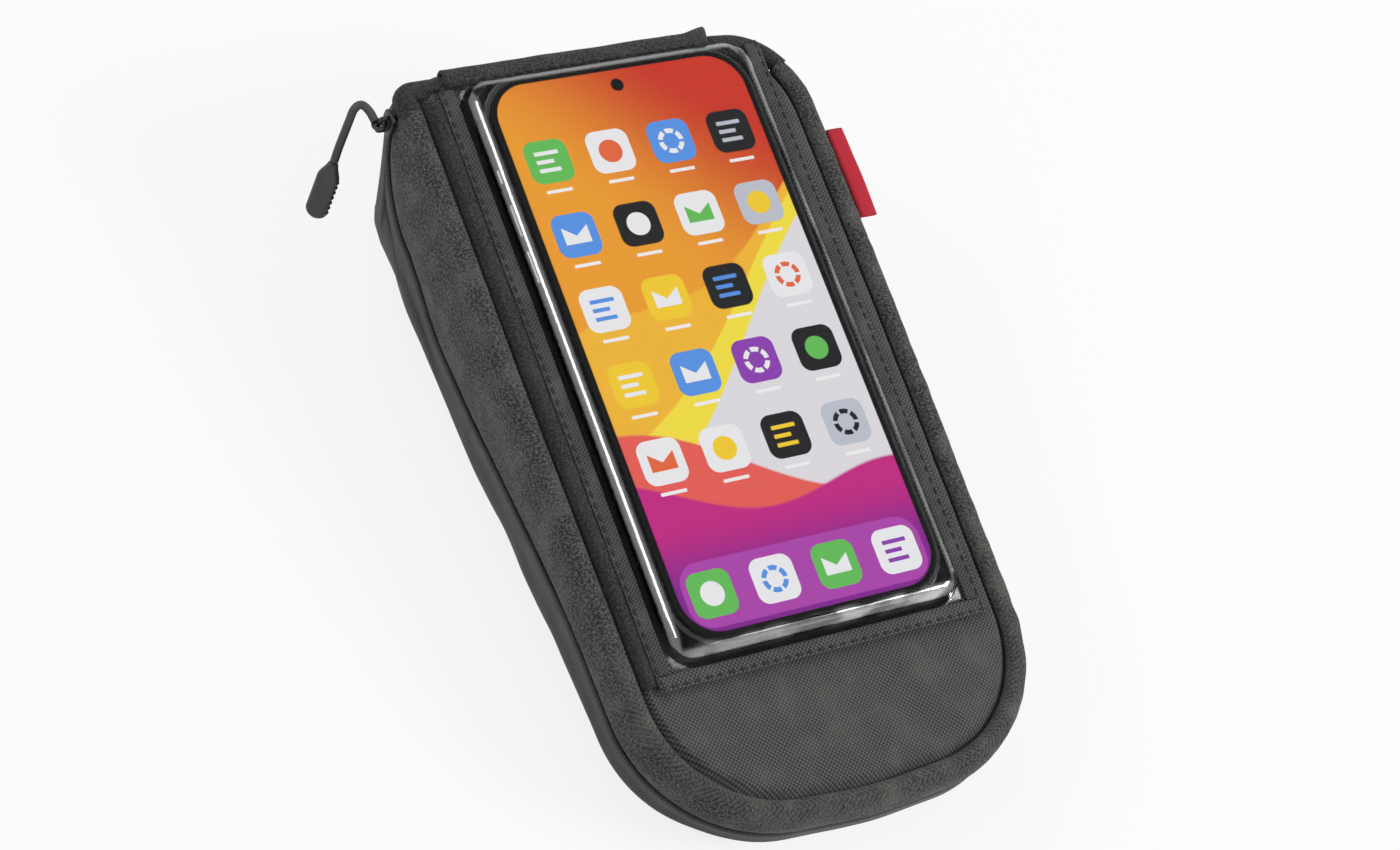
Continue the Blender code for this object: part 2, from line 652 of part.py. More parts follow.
def make_lid_side_band(lid):
    """Fleecy side of the lid: a rim beside the groove that rolls over into a wall down to the zip."""
    edge_radius = ZIP_ARC_RADIUS - ZIP_SLOT
    distances = zip_distances(edge_radius, BAND_END_ANGLE)
    rim = ((RIM_WIDTH, -PANEL_DEPTH - RIM_TUCK), (RIM_CREST_INSET, -PANEL_DEPTH + RIM_CREST),
           (RIM_OUTER_INSET, -PANEL_DEPTH + RIM_OUTER_RISE))
    wall_top = -PANEL_DEPTH - RIM_DROP
    tallest = ZIP_TOP - edge_radius
    rows = [[on_wall(distance, z, inset) for distance in distances] for inset, z in rim]
    for share in (0.0, 0.3, 0.7, 1.0):
        row = []
        for distance in distances:
            low = zip_z(distance, ZIP_SLOT)
            fullness = (wall_top - low) / (wall_top - tallest)
            bulge = SIDE_BULGE * math.sin(math.pi * share) * fullness
            row.append(on_wall(distance, wall_top + (low - wall_top) * share, -bulge))
        rows.append(row)
    sheet("lid_side_band", rows, FABRIC, "fleece_fabric", lid)


def tray_top(distance):
    """Upper edge of the tray: just below the zip, and level along the far wall."""
    radius = ZIP_ARC_RADIUS + ZIP_SLOT
    if distance < LEFT_ARC - radius or distance > RIGHT_ARC + radius:
        return FAR_WALL_TOP
    return min(FAR_WALL_TOP, zip_z(distance, -ZIP_SLOT))


def tray_rounding(distance):
    """Height over which the tray's foot rounds under."""
    height = tray_top(distance) - base_z(WALL.at(WALL.place(distance)).y)
    return min(BASE_ROUNDING, height * BASE_ROUNDING_SHARE)


def tray_straight(distance):
    """Height below the tray's edge over which its wall stands upright."""
    height = tray_top(distance) - base_z(WALL.at(WALL.place(distance)).y)
    return min(ZIP_TAPE_WIDTH + ZIP_SLOT, (height - tray_rounding(distance)) * STRAIGHT_SHARE)


def make_tray(bag):
    """Gusset of the tray: down from the zip and the far wall's top, and rounded under into the base."""
    arc = zip_distances(ZIP_ARC_RADIUS + ZIP_SLOT)
    beyond = [start for start in WALL.starts[:-1] if start > arc[-1] + 0.5 or start < arc[0] - 0.5]
    distances = sorted(arc + beyond)
    far_length = WALL.length - distances[-1] + distances[0]
    distances += [distances[-1] + far_length * step / 6 for step in range(1, 6)]
    rows = [[], [], [], [], [], []]
    for distance in distances:
        place = WALL.place(distance)
        top = tray_top(distance)
        wall = WALL.at(place)
        shoulder = SHOULDER.at(place)
        base = BASE.at(place)
        rounding = tray_rounding(distance)
        rows[0].append((wall.x, wall.y, top))
        rows[1].append((wall.x, wall.y, top - tray_straight(distance)))
        for row, angle in zip(rows[2:], (0.0, 30.0, 60.0, 90.0)):
            inward = 1.0 - math.cos(math.radians(angle))
            down = math.sin(math.radians(angle))
            flat = shoulder.lerp(base, inward)
            row.append((flat.x, flat.y, base_z(flat.y) + rounding * (1.0 - down)))
    sheet("lower_gusset", rows, BASE_FABRIC, "tray_fabric", bag, closed=True)


def make_zip_half(side, tape_name, coil_name, parent):
    """One tape of the zip with the coil behind its edge. Side is 1 for the lid's and -1 for the tray's."""
    line_radius = ZIP_ARC_RADIUS - side * COIL_GAP
    edge = []
    hem = []
    coil = []
    for distance in zip_distances(line_radius, BAND_END_ANGLE if side > 0 else COIL_END_ANGLE):
        width = ZIP_TAPE_WIDTH
        if side < 0:
            width = min(width, tray_straight(distance) - CLEARANCE)
        past = max(LEFT_ARC - distance, distance - RIGHT_ARC, 0.0)
        if past > 0.0:
            angle = math.acos(min(past / line_radius, 1.0))
            width = ZIP_TAPE_END_WIDTH + (width - ZIP_TAPE_END_WIDTH) * math.sin(angle) ** 2
        for row, reach, inset in ((edge, COIL_GAP, ZIP_TAPE_INSET), (hem, COIL_GAP + width, ZIP_TAPE_INSET),
                                  (coil, COIL_GAP + COIL_RADIUS, COIL_INSET)):
            radius = ZIP_ARC_RADIUS - side * reach
            if past == 0.0:
                row.append(on_wall(distance, zip_z(distance, side * reach), inset))
            elif distance < LEFT_ARC:
                row.append(on_wall(LEFT_ARC - radius * math.cos(angle), ZIP_TOP - radius * math.sin(angle), inset))
            else:
                row.append(on_wall(RIGHT_ARC + radius * math.cos(angle), ZIP_TOP - radius * math.sin(angle), inset))
    sheet(tape_name, [edge, hem], ZIP_TAPE, "zip_tape", parent)
    tube(coil_name, coil, COIL_RADIUS, "zip_plastic", parent, 1)


def make_zip_stops(bag):
    """Small moulded blocks that end the zip at its two upper corners."""
    for name, center, direction in (("zip_stop_left", LEFT_ARC, -1.0), ("zip_stop_right", RIGHT_ARC, 1.0)):
        distance = center + direction * ZIP_ARC_RADIUS
        point = on_wall(distance, 0.0, COIL_INSET)
        half = COIL_GAP + CLEARANCE
        block = [(point.x - COIL_RADIUS, point.y - half), (point.x + COIL_RADIUS, point.y - half),
                 (point.x + COIL_RADIUS, point.y + half), (point.x - COIL_RADIUS, point.y + half)]
        high = ZIP_TOP - CLEARANCE
        plate(name, (block,), high - ZIP_STOP_LENGTH, high, "zip_plastic", bag)


def make_label(lid):
    """Plain folded label caught in the right-hand seam."""
    left = WALL_HALF_FAR + FABRIC / 2 + CLEARANCE
    right = left + LABEL_REACH
    high = WALL_FAR - LABEL_FAR_INSET
    low = high - LABEL_LENGTH
    outline = ((left, low), (right, low), (right, high), (left, high))
    level = -PANEL_DEPTH - LABEL_DROP
    plate("side_label", (outline,), level - LABEL_THICKNESS / 2, level + LABEL_THICKNESS / 2, "label_red", lid)


def make_slider(slider):
    """Slider: an outer and an inner plate joined by a blade that runs between the two coils, and its bail."""
    outer_low = WALL_HALF_FAR + FABRIC / 2 + SLIDER_ROOM
    outer_high = outer_low + SLIDER_PLATE
    inner_high = WALL_HALF_FAR - COIL_INSET - COIL_RADIUS - SLIDER_ROOM
    inner_low = inner_high - SLIDER_PLATE
    half_blade = SLIDER_BLADE / 2
    half = SLIDER_WIDTH / 2
    section = (
        (-outer_high, -half), (-outer_low, -half), (-outer_low, -half_blade), (-inner_high, -half_blade),
        (-inner_high, -half), (-inner_low, -half), (-inner_low, half), (-inner_high, half),
        (-inner_high, half_blade), (-outer_low, half_blade), (-outer_low, half), (-outer_high, half),
    )
    long = SLIDER_LENGTH / 2
    body = plate("slider_body", (section,), -long, long, "slider_metal", slider, SLIDER_EDGE)
    travel = Vector((0.0, -math.sin(SLIDER_REST_ANGLE), -math.cos(SLIDER_REST_ANGLE)))
    middle = Vector((0.0, SLIDER_SPOT.y, SLIDER_SPOT.z))
    body.matrix_basis = aligned(middle, (1.0, 0.0, 0.0), -travel)

    foot = -outer_high - CLEARANCE
    top = foot - BAIL_HEIGHT
    wire = BAIL_WIRE / 2
    arch = ((foot, -BAIL_SPAN / 2), (top + wire * 2, -BAIL_SPAN / 2), (top + wire, -BAIL_SPAN / 2 + wire),
            (top + wire, BAIL_SPAN / 2 - wire), (top + wire * 2, BAIL_SPAN / 2), (foot, BAIL_SPAN / 2))
    points = [middle + Vector((x, 0.0, 0.0)) + travel * along for x, along in arch]
    tube("slider_bail", points, wire, "slider_metal", slider, 2)


def make_pull(pull):
    """Pull: a stiff cord stem that arches out of the bail and down to a moulded grip."""
    route = smooth_route([BAIL_SPOT + Vector(offset) for offset in PULL_STEM_ROUTE], 3)
    tube("pull_stem", route, PULL_STEM_DIAMETER / 2, "pull_rubber", pull)
    start = route[-1]
    along = (BAIL_SPOT + Vector(PULL_GRIP_TIP) - start).normalized()
    half = PULL_GRIP_WIDTH / 2
    thick = PULL_GRIP_THICKNESS / 2
    grip = rounded_rectangle(0.0, PULL_GRIP_LENGTH, -half, half, PULL_GRIP_CORNER, 5)
    body = plate("pull_grip", (grip,), -thick, thick, "pull_rubber", pull, PULL_GRIP_EDGE)
    body.matrix_basis = aligned(start + along * PULL_GRIP_GAP, along, PULL_GRIP_FACE)


def in_base_frame(points):
    """Plan points of the lid frame as they lie in the base's own plane."""
    return [(point[0], (point[1] - ADAPTER_Y) / math.cos(WEDGE)) for point in points]


def make_base():
    """Base fabric, the board that stiffens it, and the adapter plate with its screws and nuts."""
    spots = [(x * SCREW_SPACING_X / 2, y * SCREW_SPACING_Y / 2) for x in (-1, 1) for y in (-1, 1)]
    hole = SCREW_RADIUS + CLEARANCE
    holes = [circle(x, y, hole) for x, y in spots]
    inset = CLEARANCE + BASE_FABRIC * math.sin(WEDGE) * 2
    base = bag_outline(
        BASE_HALF_FAR - inset, BASE_HALF_RIDER - inset, BASE_FAR - inset, BASE_RIDER + inset,
        BASE_CORNER, BASE_CORNER, BASE_RIDER_CORNER,
    ).points
    low = BASE_MIDDLE_HEIGHT - BASE_FABRIC / 2
    high = BASE_MIDDLE_HEIGHT + BASE_FABRIC / 2
    plate("base_panel", (in_base_frame(base), *holes), low, high, "tray_fabric", None)

    board = bag_outline(
        BASE_HALF_FAR - BOARD_INSET, BASE_HALF_RIDER - BOARD_INSET, BASE_FAR - BOARD_INSET,
        BASE_RIDER + BOARD_INSET, BASE_CORNER - BOARD_INSET, BASE_CORNER - BOARD_INSET,
        BASE_RIDER_CORNER - BOARD_INSET,
    ).points
    board_low = high + CLEARANCE
    board_high = board_low + BOARD_THICKNESS
    plate("base_board", (in_base_frame(board), *holes), board_low, board_high, "adapter_plastic", None)

    adapter = rounded_rectangle(
        -ADAPTER_WIDTH / 2, ADAPTER_WIDTH / 2, -ADAPTER_LENGTH / 2, ADAPTER_LENGTH / 2, ADAPTER_CORNER,
    )
    recess = SCREW_HEAD_HEIGHT + SCREW_HEAD_RECESS + CLEARANCE
    body = plate("adapter_plate", (adapter, *holes), 0.0, ADAPTER_THICKNESS, "adapter_plastic", None)
    counterbores = [
        plate(f"counterbore_cutter_{index}", (circle(x, y, SCREW_HEAD_RADIUS + CLEARANCE),), -1.0, recess,
              "adapter_plastic", None)
        for index, (x, y) in enumerate(spots)
    ]
    round_edges(bore(body, counterbores), ADAPTER_EDGE, 1)

    nut_low = board_high + CLEARANCE
    nut_high = nut_low + NUT_HEIGHT
    screw_top = nut_high + SCREW_PROUD
    head_top = SCREW_HEAD_RECESS + SCREW_HEAD_HEIGHT
    profile = (
        (0.0, screw_top), (SCREW_RADIUS, screw_top), (SCREW_RADIUS, head_top), (SCREW_HEAD_RADIUS, head_top),
        (SCREW_HEAD_RADIUS, SCREW_HEAD_RECESS), (0.0, SCREW_HEAD_RECESS),
    )
    corner = NUT_FLATS_RADIUS / math.cos(math.radians(30))
    for index, (x, y) in enumerate(spots, 1):
        turned(f"adapter_screw_{index}", profile, "steel", None, (x, y, 0.0))
        outlines = (circle(x, y, corner, 6), circle(x, y, hole))
        plate(f"adapter_nut_{index}", outlines, nut_low, nut_high, "steel", None)


def bore(body, cutters):
    """Turns the curves into meshes and cuts the cutters out of the body."""
    bpy.context.view_layer.update()
    state = bpy.context.evaluated_depsgraph_get()
    meshes = [bpy.data.meshes.new_from_object(source.evaluated_get(state)) for source in (body, *cutters)]
    solids = []
    for source, mesh in zip((body, *cutters), meshes):
        cleaned = bmesh.new()
        cleaned.from_mesh(mesh)
        bmesh.ops.remove_doubles(cleaned, verts=cleaned.verts, dist=TINY_MERGE)
        cleaned.to_mesh(mesh)
        cleaned.free()
        name = source.name
        matrix = source.matrix_world.copy()
        bpy.data.objects.remove(source)
        solid = bpy.data.objects.new(name, mesh)
        solid.matrix_world = matrix
        solids.append(solid)
    PARTS.objects.link(solids[0])
    for cutter in solids[1:]:
        CUTTERS.objects.link(cutter)
        cutter.hide_render = True
        cutter.display_type = "WIRE"
        cut = solids[0].modifiers.new("Counterbore", "BOOLEAN")
        cut.operation = "DIFFERENCE"
        cut.object = cutter
        cut.solver = "EXACT"
    return solids[0]


def make_hinge_tape(bag):
    """Tape inside the far wall that carries the lid's fold."""
    far = WALL_FAR - BASE_FABRIC / 2 - CLEARANCE
    near = far - HINGE_TAPE_THICKNESS
    high = FAR_WALL_TOP - HINGE_TAPE_DROP
    low = high - HINGE_TAPE_HEIGHT
    half = HINGE_TAPE_HALF_LENGTH
    middle = (far + near) / 2
    lean = (WALL_FAR - SHOULDER_FAR) / (FAR_WALL_TOP - base_z(WALL_FAR) - BASE_ROUNDING)
    rows = [
        [(-half, middle, high), (half, middle, high)],
        [(-half, middle, high - ZIP_TAPE_WIDTH), (half, middle, high - ZIP_TAPE_WIDTH)],
        [(-half, middle - lean * HINGE_TAPE_HEIGHT, low), (half, middle - lean * HINGE_TAPE_HEIGHT, low)],
    ]
    sheet("hinge_tape", rows, HINGE_TAPE_THICKNESS, "binding", bag)


def clear_scene():
    for old in list(bpy.data.objects):
        bpy.data.objects.remove(old)
    for old in list(bpy.data.materials):
        bpy.data.materials.remove(old)


clear_scene()
PARTS = bpy.data.collections.new("bike_phone_bag")
CUTTERS = bpy.data.collections.new("cutters")
bpy.context.scene.collection.children.link(PARTS)
bpy.context.scene.collection.children.link(CUTTERS)

# The lid frame stands in the base frame so that the base lies level above the adapter plate
lean = Matrix.Rotation(WEDGE, 4, "X")
base_spot = lean @ Vector((0.0, ADAPTER_Y, base_z(ADAPTER_Y)))
lid_origin = Vector((0.0, 0.0, BASE_MIDDLE_HEIGHT)) - base_spot
bag_frame = empty("bag_frame", Matrix.Translation(lid_origin * MM) @ lean)

hinge_spot = Vector((0.0, HINGE_Y, HINGE_Z)) * MM
lid_hinge = empty("lid_hinge", Matrix.Translation(hinge_spot), bag_frame)
lid_frame = empty("lid_frame", Matrix.Translation(-hinge_spot), lid_hinge)

arc_spot = Vector((-WALL_HALF_FAR, ZIP_ARC_Y, ZIP_TOP)) * MM
slider_hinge = empty("slider_hinge", Matrix.Translation(arc_spot), bag_frame)
slider_frame = empty("slider_frame", Matrix.Translation(-arc_spot), slider_hinge)

pull_hinge = empty("pull_hinge", Matrix.Translation(BAIL_SPOT * MM), slider_frame)
pull_frame = empty("pull_frame", Matrix.Translation(-BAIL_SPOT * MM), pull_hinge)

make_lid_pocket(lid_frame)
make_mouth_binding(lid_frame)
make_phone(lid_frame)
make_lid_side_band(lid_frame)
make_label(lid_frame)
make_zip_half(1, "upper_zip_tape", "upper_zip_coil", lid_frame)
make_tray(bag_frame)
make_hinge_tape(bag_frame)
make_zip_half(-1, "lower_zip_tape", "lower_zip_coil", bag_frame)
make_zip_stops(bag_frame)
make_slider(slider_frame)
make_pull(pull_frame)
make_base()
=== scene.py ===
# %% [markdown]
# # A bike phone bag
# The bag is a wedge-shaped pouch. Its lid is a clear-fronted pocket with a phone in it, its sides are
# fleecy, and a zip runs round them above a smooth tray. This script loads the solids of the bag and builds
# the soft, sewn and moulded surfaces round them, one piece at a time.

# %% Load the solids
import math

import bmesh
import bpy
import numpy as np
from mathutils import Matrix, Vector, noise


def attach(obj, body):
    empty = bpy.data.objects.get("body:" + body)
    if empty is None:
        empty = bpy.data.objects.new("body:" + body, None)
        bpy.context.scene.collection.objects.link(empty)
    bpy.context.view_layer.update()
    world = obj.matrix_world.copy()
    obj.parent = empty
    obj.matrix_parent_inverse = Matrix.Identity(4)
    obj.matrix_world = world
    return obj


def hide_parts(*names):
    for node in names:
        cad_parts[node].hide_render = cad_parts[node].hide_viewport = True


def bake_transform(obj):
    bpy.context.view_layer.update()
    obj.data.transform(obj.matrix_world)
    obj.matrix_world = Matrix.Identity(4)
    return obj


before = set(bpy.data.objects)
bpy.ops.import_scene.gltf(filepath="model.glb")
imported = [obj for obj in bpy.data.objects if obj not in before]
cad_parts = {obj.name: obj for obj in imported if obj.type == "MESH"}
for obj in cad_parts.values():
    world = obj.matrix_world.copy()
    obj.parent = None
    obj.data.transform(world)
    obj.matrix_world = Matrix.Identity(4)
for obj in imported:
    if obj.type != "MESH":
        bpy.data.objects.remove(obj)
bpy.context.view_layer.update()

# %% [markdown]
# ## Where the lid lies
# The lid leans back by the wedge angle. It is easier to draw the bag flat, in millimetres, with the origin
# at the middle of the phone's display, and to move each finished mesh into place with one matrix.

# %% The lid's frame
MM = 0.001
WEDGE = math.radians(8.57)
LID_ORIGIN = Vector((0.0, 0.011945, 0.047631))
LID = Matrix.Translation(LID_ORIGIN) @ Matrix.Rotation(WEDGE, 4, "X") @ Matrix.Scale(MM, 4)


def placed(points):
    """Points in the lid's millimetres, moved to their places in metres."""
    return [LID @ Vector(point) for point in points]


def add_object(name, data):
    made = bpy.data.objects.new(name, data)
    bpy.context.scene.collection.objects.link(made)
    return made


# %% [markdown]
# ## The camera
# The camera stands above and to the left of the rider's end and is rolled, so that the bag lies across the
# picture. A place, a direction and an up direction settle it better than angles would.

# %% Camera
CAMERA_SPOT = Vector((-409.74, -271.12, 725.52))
CAMERA_BACK = Vector((-0.4596, -0.2871, 0.8404)).normalized()
CAMERA_UP = Vector((0.185, 0.894, 0.407))
CAMERA_LENS = 90.0

camera_x = CAMERA_UP.cross(CAMERA_BACK).normalized()
camera_turn = Matrix((camera_x, CAMERA_BACK.cross(camera_x), CAMERA_BACK)).transposed().to_4x4()
camera = add_object("camera", bpy.data.cameras.new("camera"))
camera.matrix_world = Matrix.Translation(LID @ CAMERA_SPOT) @ Matrix.Rotation(WEDGE, 4, "X") @ camera_turn
camera.data.lens = CAMERA_LENS
camera.data.sensor_width = 36.0
camera.data.clip_start = 0.05
bpy.context.scene.camera = camera

# %% [markdown]
# ## Sizes that the pieces share
# These are the same sizes as the solids have, so each cloth lies where its solid lies.

# %% Sizes in millimetres
PANEL_TOP = -5.5
WINDOW_HALF = 42.0
WINDOW_FAR = 80.0
WINDOW_RIDER = -81.2
WINDOW_CORNER = 8.0
WALL_HALF_FAR = 57.1
WALL_HALF_RIDER = 55.4
WALL_FAR = 82.8
WALL_RIDER = -125.6
DEPTH = 42.0
ZIP_ARC_RADIUS = 25.0
ZIP_ARC_Y = 52.0
ZIP_TOP = -6.0
ZIP_SLOT = 0.9
COIL_GAP = 0.85
FAR_WALL_TOP = -10.3
BAND_END_ANGLE = 13.0
SLIDER_ANGLE = math.radians(13.0)
SLIDER_SPOT = Vector((-57.1, 76.359, -11.624))
BAIL_SPOT = Vector((-61.85, 76.359, -11.624))

# %% [markdown]
# ## Outlines
# Seen from above, the wall, the panel, the window and the base are all rounded rectangles. One class draws
# them and reads them by the distance along them. It also remembers where the four corners are, so that two
# outlines can be joined corner to corner.


# %% Outline of the bag
def rounded_corner(before, corner, after, radius, steps):
    corner = Vector(corner)
    back = (Vector(before) - corner).normalized()
    ahead = (Vector(after) - corner).normalized()
    half_angle = back.angle(ahead) / 2
    center = corner + (back + ahead).normalized() * (radius / math.sin(half_angle))
    start = corner + back * (radius / math.tan(half_angle)) - center
    side = 1.0 if back.x * ahead.y - back.y * ahead.x < 0 else -1.0
    turn = side * (math.pi - 2 * half_angle)
    angles = [turn * step / steps for step in range(steps + 1)]
    return [(center.x + start.x * math.cos(angle) - start.y * math.sin(angle),
             center.y + start.x * math.sin(angle) + start.y * math.cos(angle)) for angle in angles]


class Outline:
    """A closed run of points from the far left corner, down the left side and round the rider's end."""

    def __init__(self, vertices, corners):
        """A vertex is a place, a radius and steps. The corners are four vertices' places in the list."""
        self.points = []
        spans = []
        for index, (corner, radius, steps) in enumerate(vertices):
            first = len(self.points)
            after = vertices[(index + 1) % len(vertices)][0]
            self.points += rounded_corner(vertices[index - 1][0], corner, after, radius, steps)
            if index in corners:
                spans.append((first, len(self.points) - 1))
        self.closed = np.array(self.points + self.points[:1])
        self.starts = np.concatenate(([0.0], np.cumsum(np.linalg.norm(np.diff(self.closed, axis=0), axis=1))))
        self.length = self.starts[-1]
        self.corners = [(self.starts[first], self.starts[last]) for first, last in spans]

    def at(self, distance):
        distance = np.asarray(distance) % self.length
        return np.stack([np.interp(distance, self.starts, self.closed[:, axis]) for axis in (0, 1)], axis=-1)

    def outward(self, distance):
        step = self.at(np.asarray(distance) + 0.6) - self.at(np.asarray(distance) - 0.6)
        step /= np.linalg.norm(step, axis=-1, keepdims=True)
        return np.stack((step[..., 1], -step[..., 0]), axis=-1)

    def stations(self, side_steps, corner_steps):
        """Distances that split each corner and each side evenly, for joining two outlines."""
        found = []
        for index, (start, end) in enumerate(self.corners):
            following = self.corners[(index + 1) % 4][0] + (self.length if index == 3 else 0.0)
            found += list(np.linspace(start, end, corner_steps, endpoint=False))
            found += list(np.linspace(end, following, side_steps[index], endpoint=False))
        return np.array(found)


def bag_outline(half_far, half_rider, far, rider, left_corner, right_corner, rider_corner):
    vertices = (
        ((-half_far, far), left_corner, 16), ((-half_far, 0.0), 300.0, 6),
        ((-half_rider, rider + 4.0), rider_corner, 28), ((0.0, rider), 110.0, 8),
        ((half_rider, rider + 4.0), rider_corner, 28), ((half_far, 0.0), 300.0, 6),
        ((half_far, far), right_corner, 20),
    )
    return Outline(vertices, (0, 2, 4, 6))


def box_outline(half, rider, far, corner):
    places = ((-half, far), (-half, rider), (half, rider), (half, far))
    return Outline([(place, corner, 12) for place in places], (0, 1, 2, 3))


WALL = bag_outline(WALL_HALF_FAR, WALL_HALF_RIDER, WALL_FAR, WALL_RIDER, 5.0, 22.0, 38.0)
SHOULDER = bag_outline(WALL_HALF_FAR + 0.7, WALL_HALF_RIDER + 0.7, 74.5, WALL_RIDER, 14.0, 22.0, 38.0)
BASE = bag_outline(46.5, 44.0, 62.0, -113.0, 24.0, 24.0, 30.0)
PANEL = bag_outline(51.3, 49.6, 84.0, -119.8, 9.0, 27.0, 33.1)
print("length round the wall:", round(float(WALL.length), 1), "mm")

# %% [markdown]
# ## The zip's line
# The zip starts low in the far corners, runs round a quarter circle and then along the sides. Its height
# follows the base, which falls away towards the far end.


# %% Height of the zip
def base_z(y):
    return -DEPTH - math.tan(WEDGE) * y


def eased(share):
    share = np.clip(share, 0.0, 1.0)
    return share * share * (3.0 - 2.0 * share)


TRAY_KNOTS = ((WALL_RIDER, 8.6), (-50.0, 15.0), (20.0, 13.0),
              (ZIP_ARC_Y, ZIP_TOP - ZIP_ARC_RADIUS - base_z(ZIP_ARC_Y)))


def tray_height(y):
    """Height of the zip over the base, eased from knot to knot."""
    for (start, low), (end, high) in zip(TRAY_KNOTS, TRAY_KNOTS[1:]):
        if y <= end:
            break
    return low + (high - low) * eased((y - start) / (end - start))


def side_distance(side):
    """Distance along the wall at which one side passes the middle of the zip's arc."""
    distances = np.arange(0.0, WALL.length, 0.05)
    flat = WALL.at(distances)
    off = np.abs(flat[:, 1] - ZIP_ARC_Y) + 1000.0 * (flat[:, 0] * side < 0)
    return float(distances[np.argmin(off)])


LEFT_ARC = side_distance(-1)
RIGHT_ARC = side_distance(1)


def past_middle(distance):
    """How far into one of the two arcs a distance along the wall lies."""
    return max(LEFT_ARC - distance, distance - RIGHT_ARC, 0.0)


def zip_z(distance, shift=0.0):
    radius = ZIP_ARC_RADIUS - shift
    past = past_middle(distance)
    if past > 0.0:
        return ZIP_TOP - math.sqrt(max(radius * radius - past * past, 0.0))
    y = float(WALL.at(distance)[1])
    return base_z(y) + tray_height(y) + shift


def zip_run(radius, first_angle, spacing):
    """Distances along the wall for a line beside the zip, closer on the steep ends."""
    reach = radius * np.cos(np.radians(np.linspace(first_angle, 90.0, 26)))[:-1]
    middle = np.linspace(LEFT_ARC, RIGHT_ARC, int((RIGHT_ARC - LEFT_ARC) / spacing))
    return np.concatenate((LEFT_ARC - reach, middle, RIGHT_ARC + reach[::-1]))


# %% [markdown]
# ## Making pieces
# Each mesh is welded and its normals turned outwards. Then it gets a finish, rides on its body and
# hides the one or more solids that it stands for.

# %% Mesh to piece
SMALLEST = 0.00001


def clean(mesh, drop_empty=True):
    """Welds doubled points, drops faces without area if asked, and turns the normals outwards."""
    made = bmesh.new()
    made.from_mesh(mesh)
    bmesh.ops.remove_doubles(made, verts=made.verts, dist=SMALLEST)
    if drop_empty:
        bmesh.ops.dissolve_degenerate(made, edges=made.edges, dist=SMALLEST)
    bmesh.ops.recalc_face_normals(made, faces=made.faces)
    made.to_mesh(mesh)
    made.free()
    mesh.shade_smooth()


def add_piece(name, mesh, finish, body, replaces=()):
    piece = add_object(name, mesh)
    mesh.materials.clear()
    mesh.materials.append(finish)
    if body:
        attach(piece, body)
    if replaces:
        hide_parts(*replaces)
    return piece


def thicken(piece, thickness, offset):
    wall = piece.modifiers.new("Thickness", "SOLIDIFY")
    wall.thickness = thickness * MM
    wall.offset = offset


def round_edges(piece, width, angle):
    rounding = piece.modifiers.new("Edge", "BEVEL")
    rounding.width = width * MM
    rounding.segments = 3
    rounding.limit_method = "ANGLE"
    rounding.angle_limit = math.radians(angle)


def as_mesh(source):
    """Keeps what an object's curve or modifiers make as a plain mesh, and removes the object."""
    state = bpy.context.evaluated_depsgraph_get()
    mesh = bpy.data.meshes.new_from_object(source.evaluated_get(state))
    bpy.data.objects.remove(source)
    return mesh


# %% [markdown]
# ## Making cloth
# A cloth is a grid of points. The grid becomes a mesh, gets a map in millimetres that runs with its
# threads, and then a thickness. The map is what keeps a weave the same size on every piece, however the
# cloth bends.


# %% Cloth from a grid
def cloth(name, rows, thickness, finish, body, closed=False, flat_map=False, offset=0.0, replaces=()):
    rows = np.asarray(rows, float)
    count, width = rows.shape[:2]
    across = np.cumsum(np.linalg.norm(np.diff(rows, axis=0, prepend=rows[:1]), axis=2), axis=0)
    middle = rows[count // 2]
    along = np.cumsum(np.linalg.norm(np.diff(middle, axis=0, prepend=middle[:1]), axis=1))
    along = np.append(along, along[-1] + np.linalg.norm(middle[0] - middle[-1]))
    faces = []
    maps = []
    for row in range(count - 1):
        for column in range(width if closed else width - 1):
            corners = ((row, column), (row + 1, column), (row + 1, column + 1), (row, column + 1))
            faces.append([r * width + c % width for r, c in corners])
            for r, c in corners:
                maps.append(rows[r, c % width, :2] if flat_map else (along[c], across[r, c % width]))
    mesh = bpy.data.meshes.new(name)
    mesh.from_pydata(placed(rows.reshape(-1, 3)), [], faces)
    mesh.uv_layers.new(name="cloth").data.foreach_set("uv", np.array(maps, np.float32).ravel())
    clean(mesh)
    piece = add_piece(name, mesh, finish, body, replaces)
    if thickness:
        thicken(piece, thickness, offset)
    print(name + ":", len(mesh.polygons), "faces")
    return piece


def ripple(x, y, size, seed=0.0):
    """Soft random height between about -1 and 1, with waves of a size in millimetres."""
    return noise.noise(Vector((x / size, y / size, seed)))


# %% [markdown]
# ## Node helpers
# A finish is a tree of nodes. These helpers add a node with its inputs, which are numbers or other nodes'
# sockets, and give names to the few sums that the finishes use.


# %% Nodes, sums and colours
def fill(tree, node, values):
    """Sets a node's inputs, each to a value or to another node's socket."""
    for name, value in values.items():
        if isinstance(value, bpy.types.NodeSocket):
            tree.links.new(value, node.inputs[name])
        else:
            node.inputs[name].default_value = value


def add(tree, kind, values=None, **settings):
    node = tree.nodes.new(kind)
    for name, value in settings.items():
        setattr(node, name, value)
    fill(tree, node, values or {})
    return node


def calc(tree, operation, *values):
    return add(tree, "ShaderNodeMath", dict(enumerate(values)), operation=operation).outputs[0]


def product(tree, first, *others):
    for value in others:
        first = calc(tree, "MULTIPLY", first, value)
    return first


def half_wave(tree, value):
    """A sine between 0 and 1."""
    return calc(tree, "MULTIPLY_ADD", calc(tree, "SINE", value), 0.5, 0.5)


def smooth(tree, value, low, high):
    values = {"Value": value, "From Min": low, "From Max": high}
    return add(tree, "ShaderNodeMapRange", values, interpolation_type="SMOOTHSTEP").outputs["Result"]


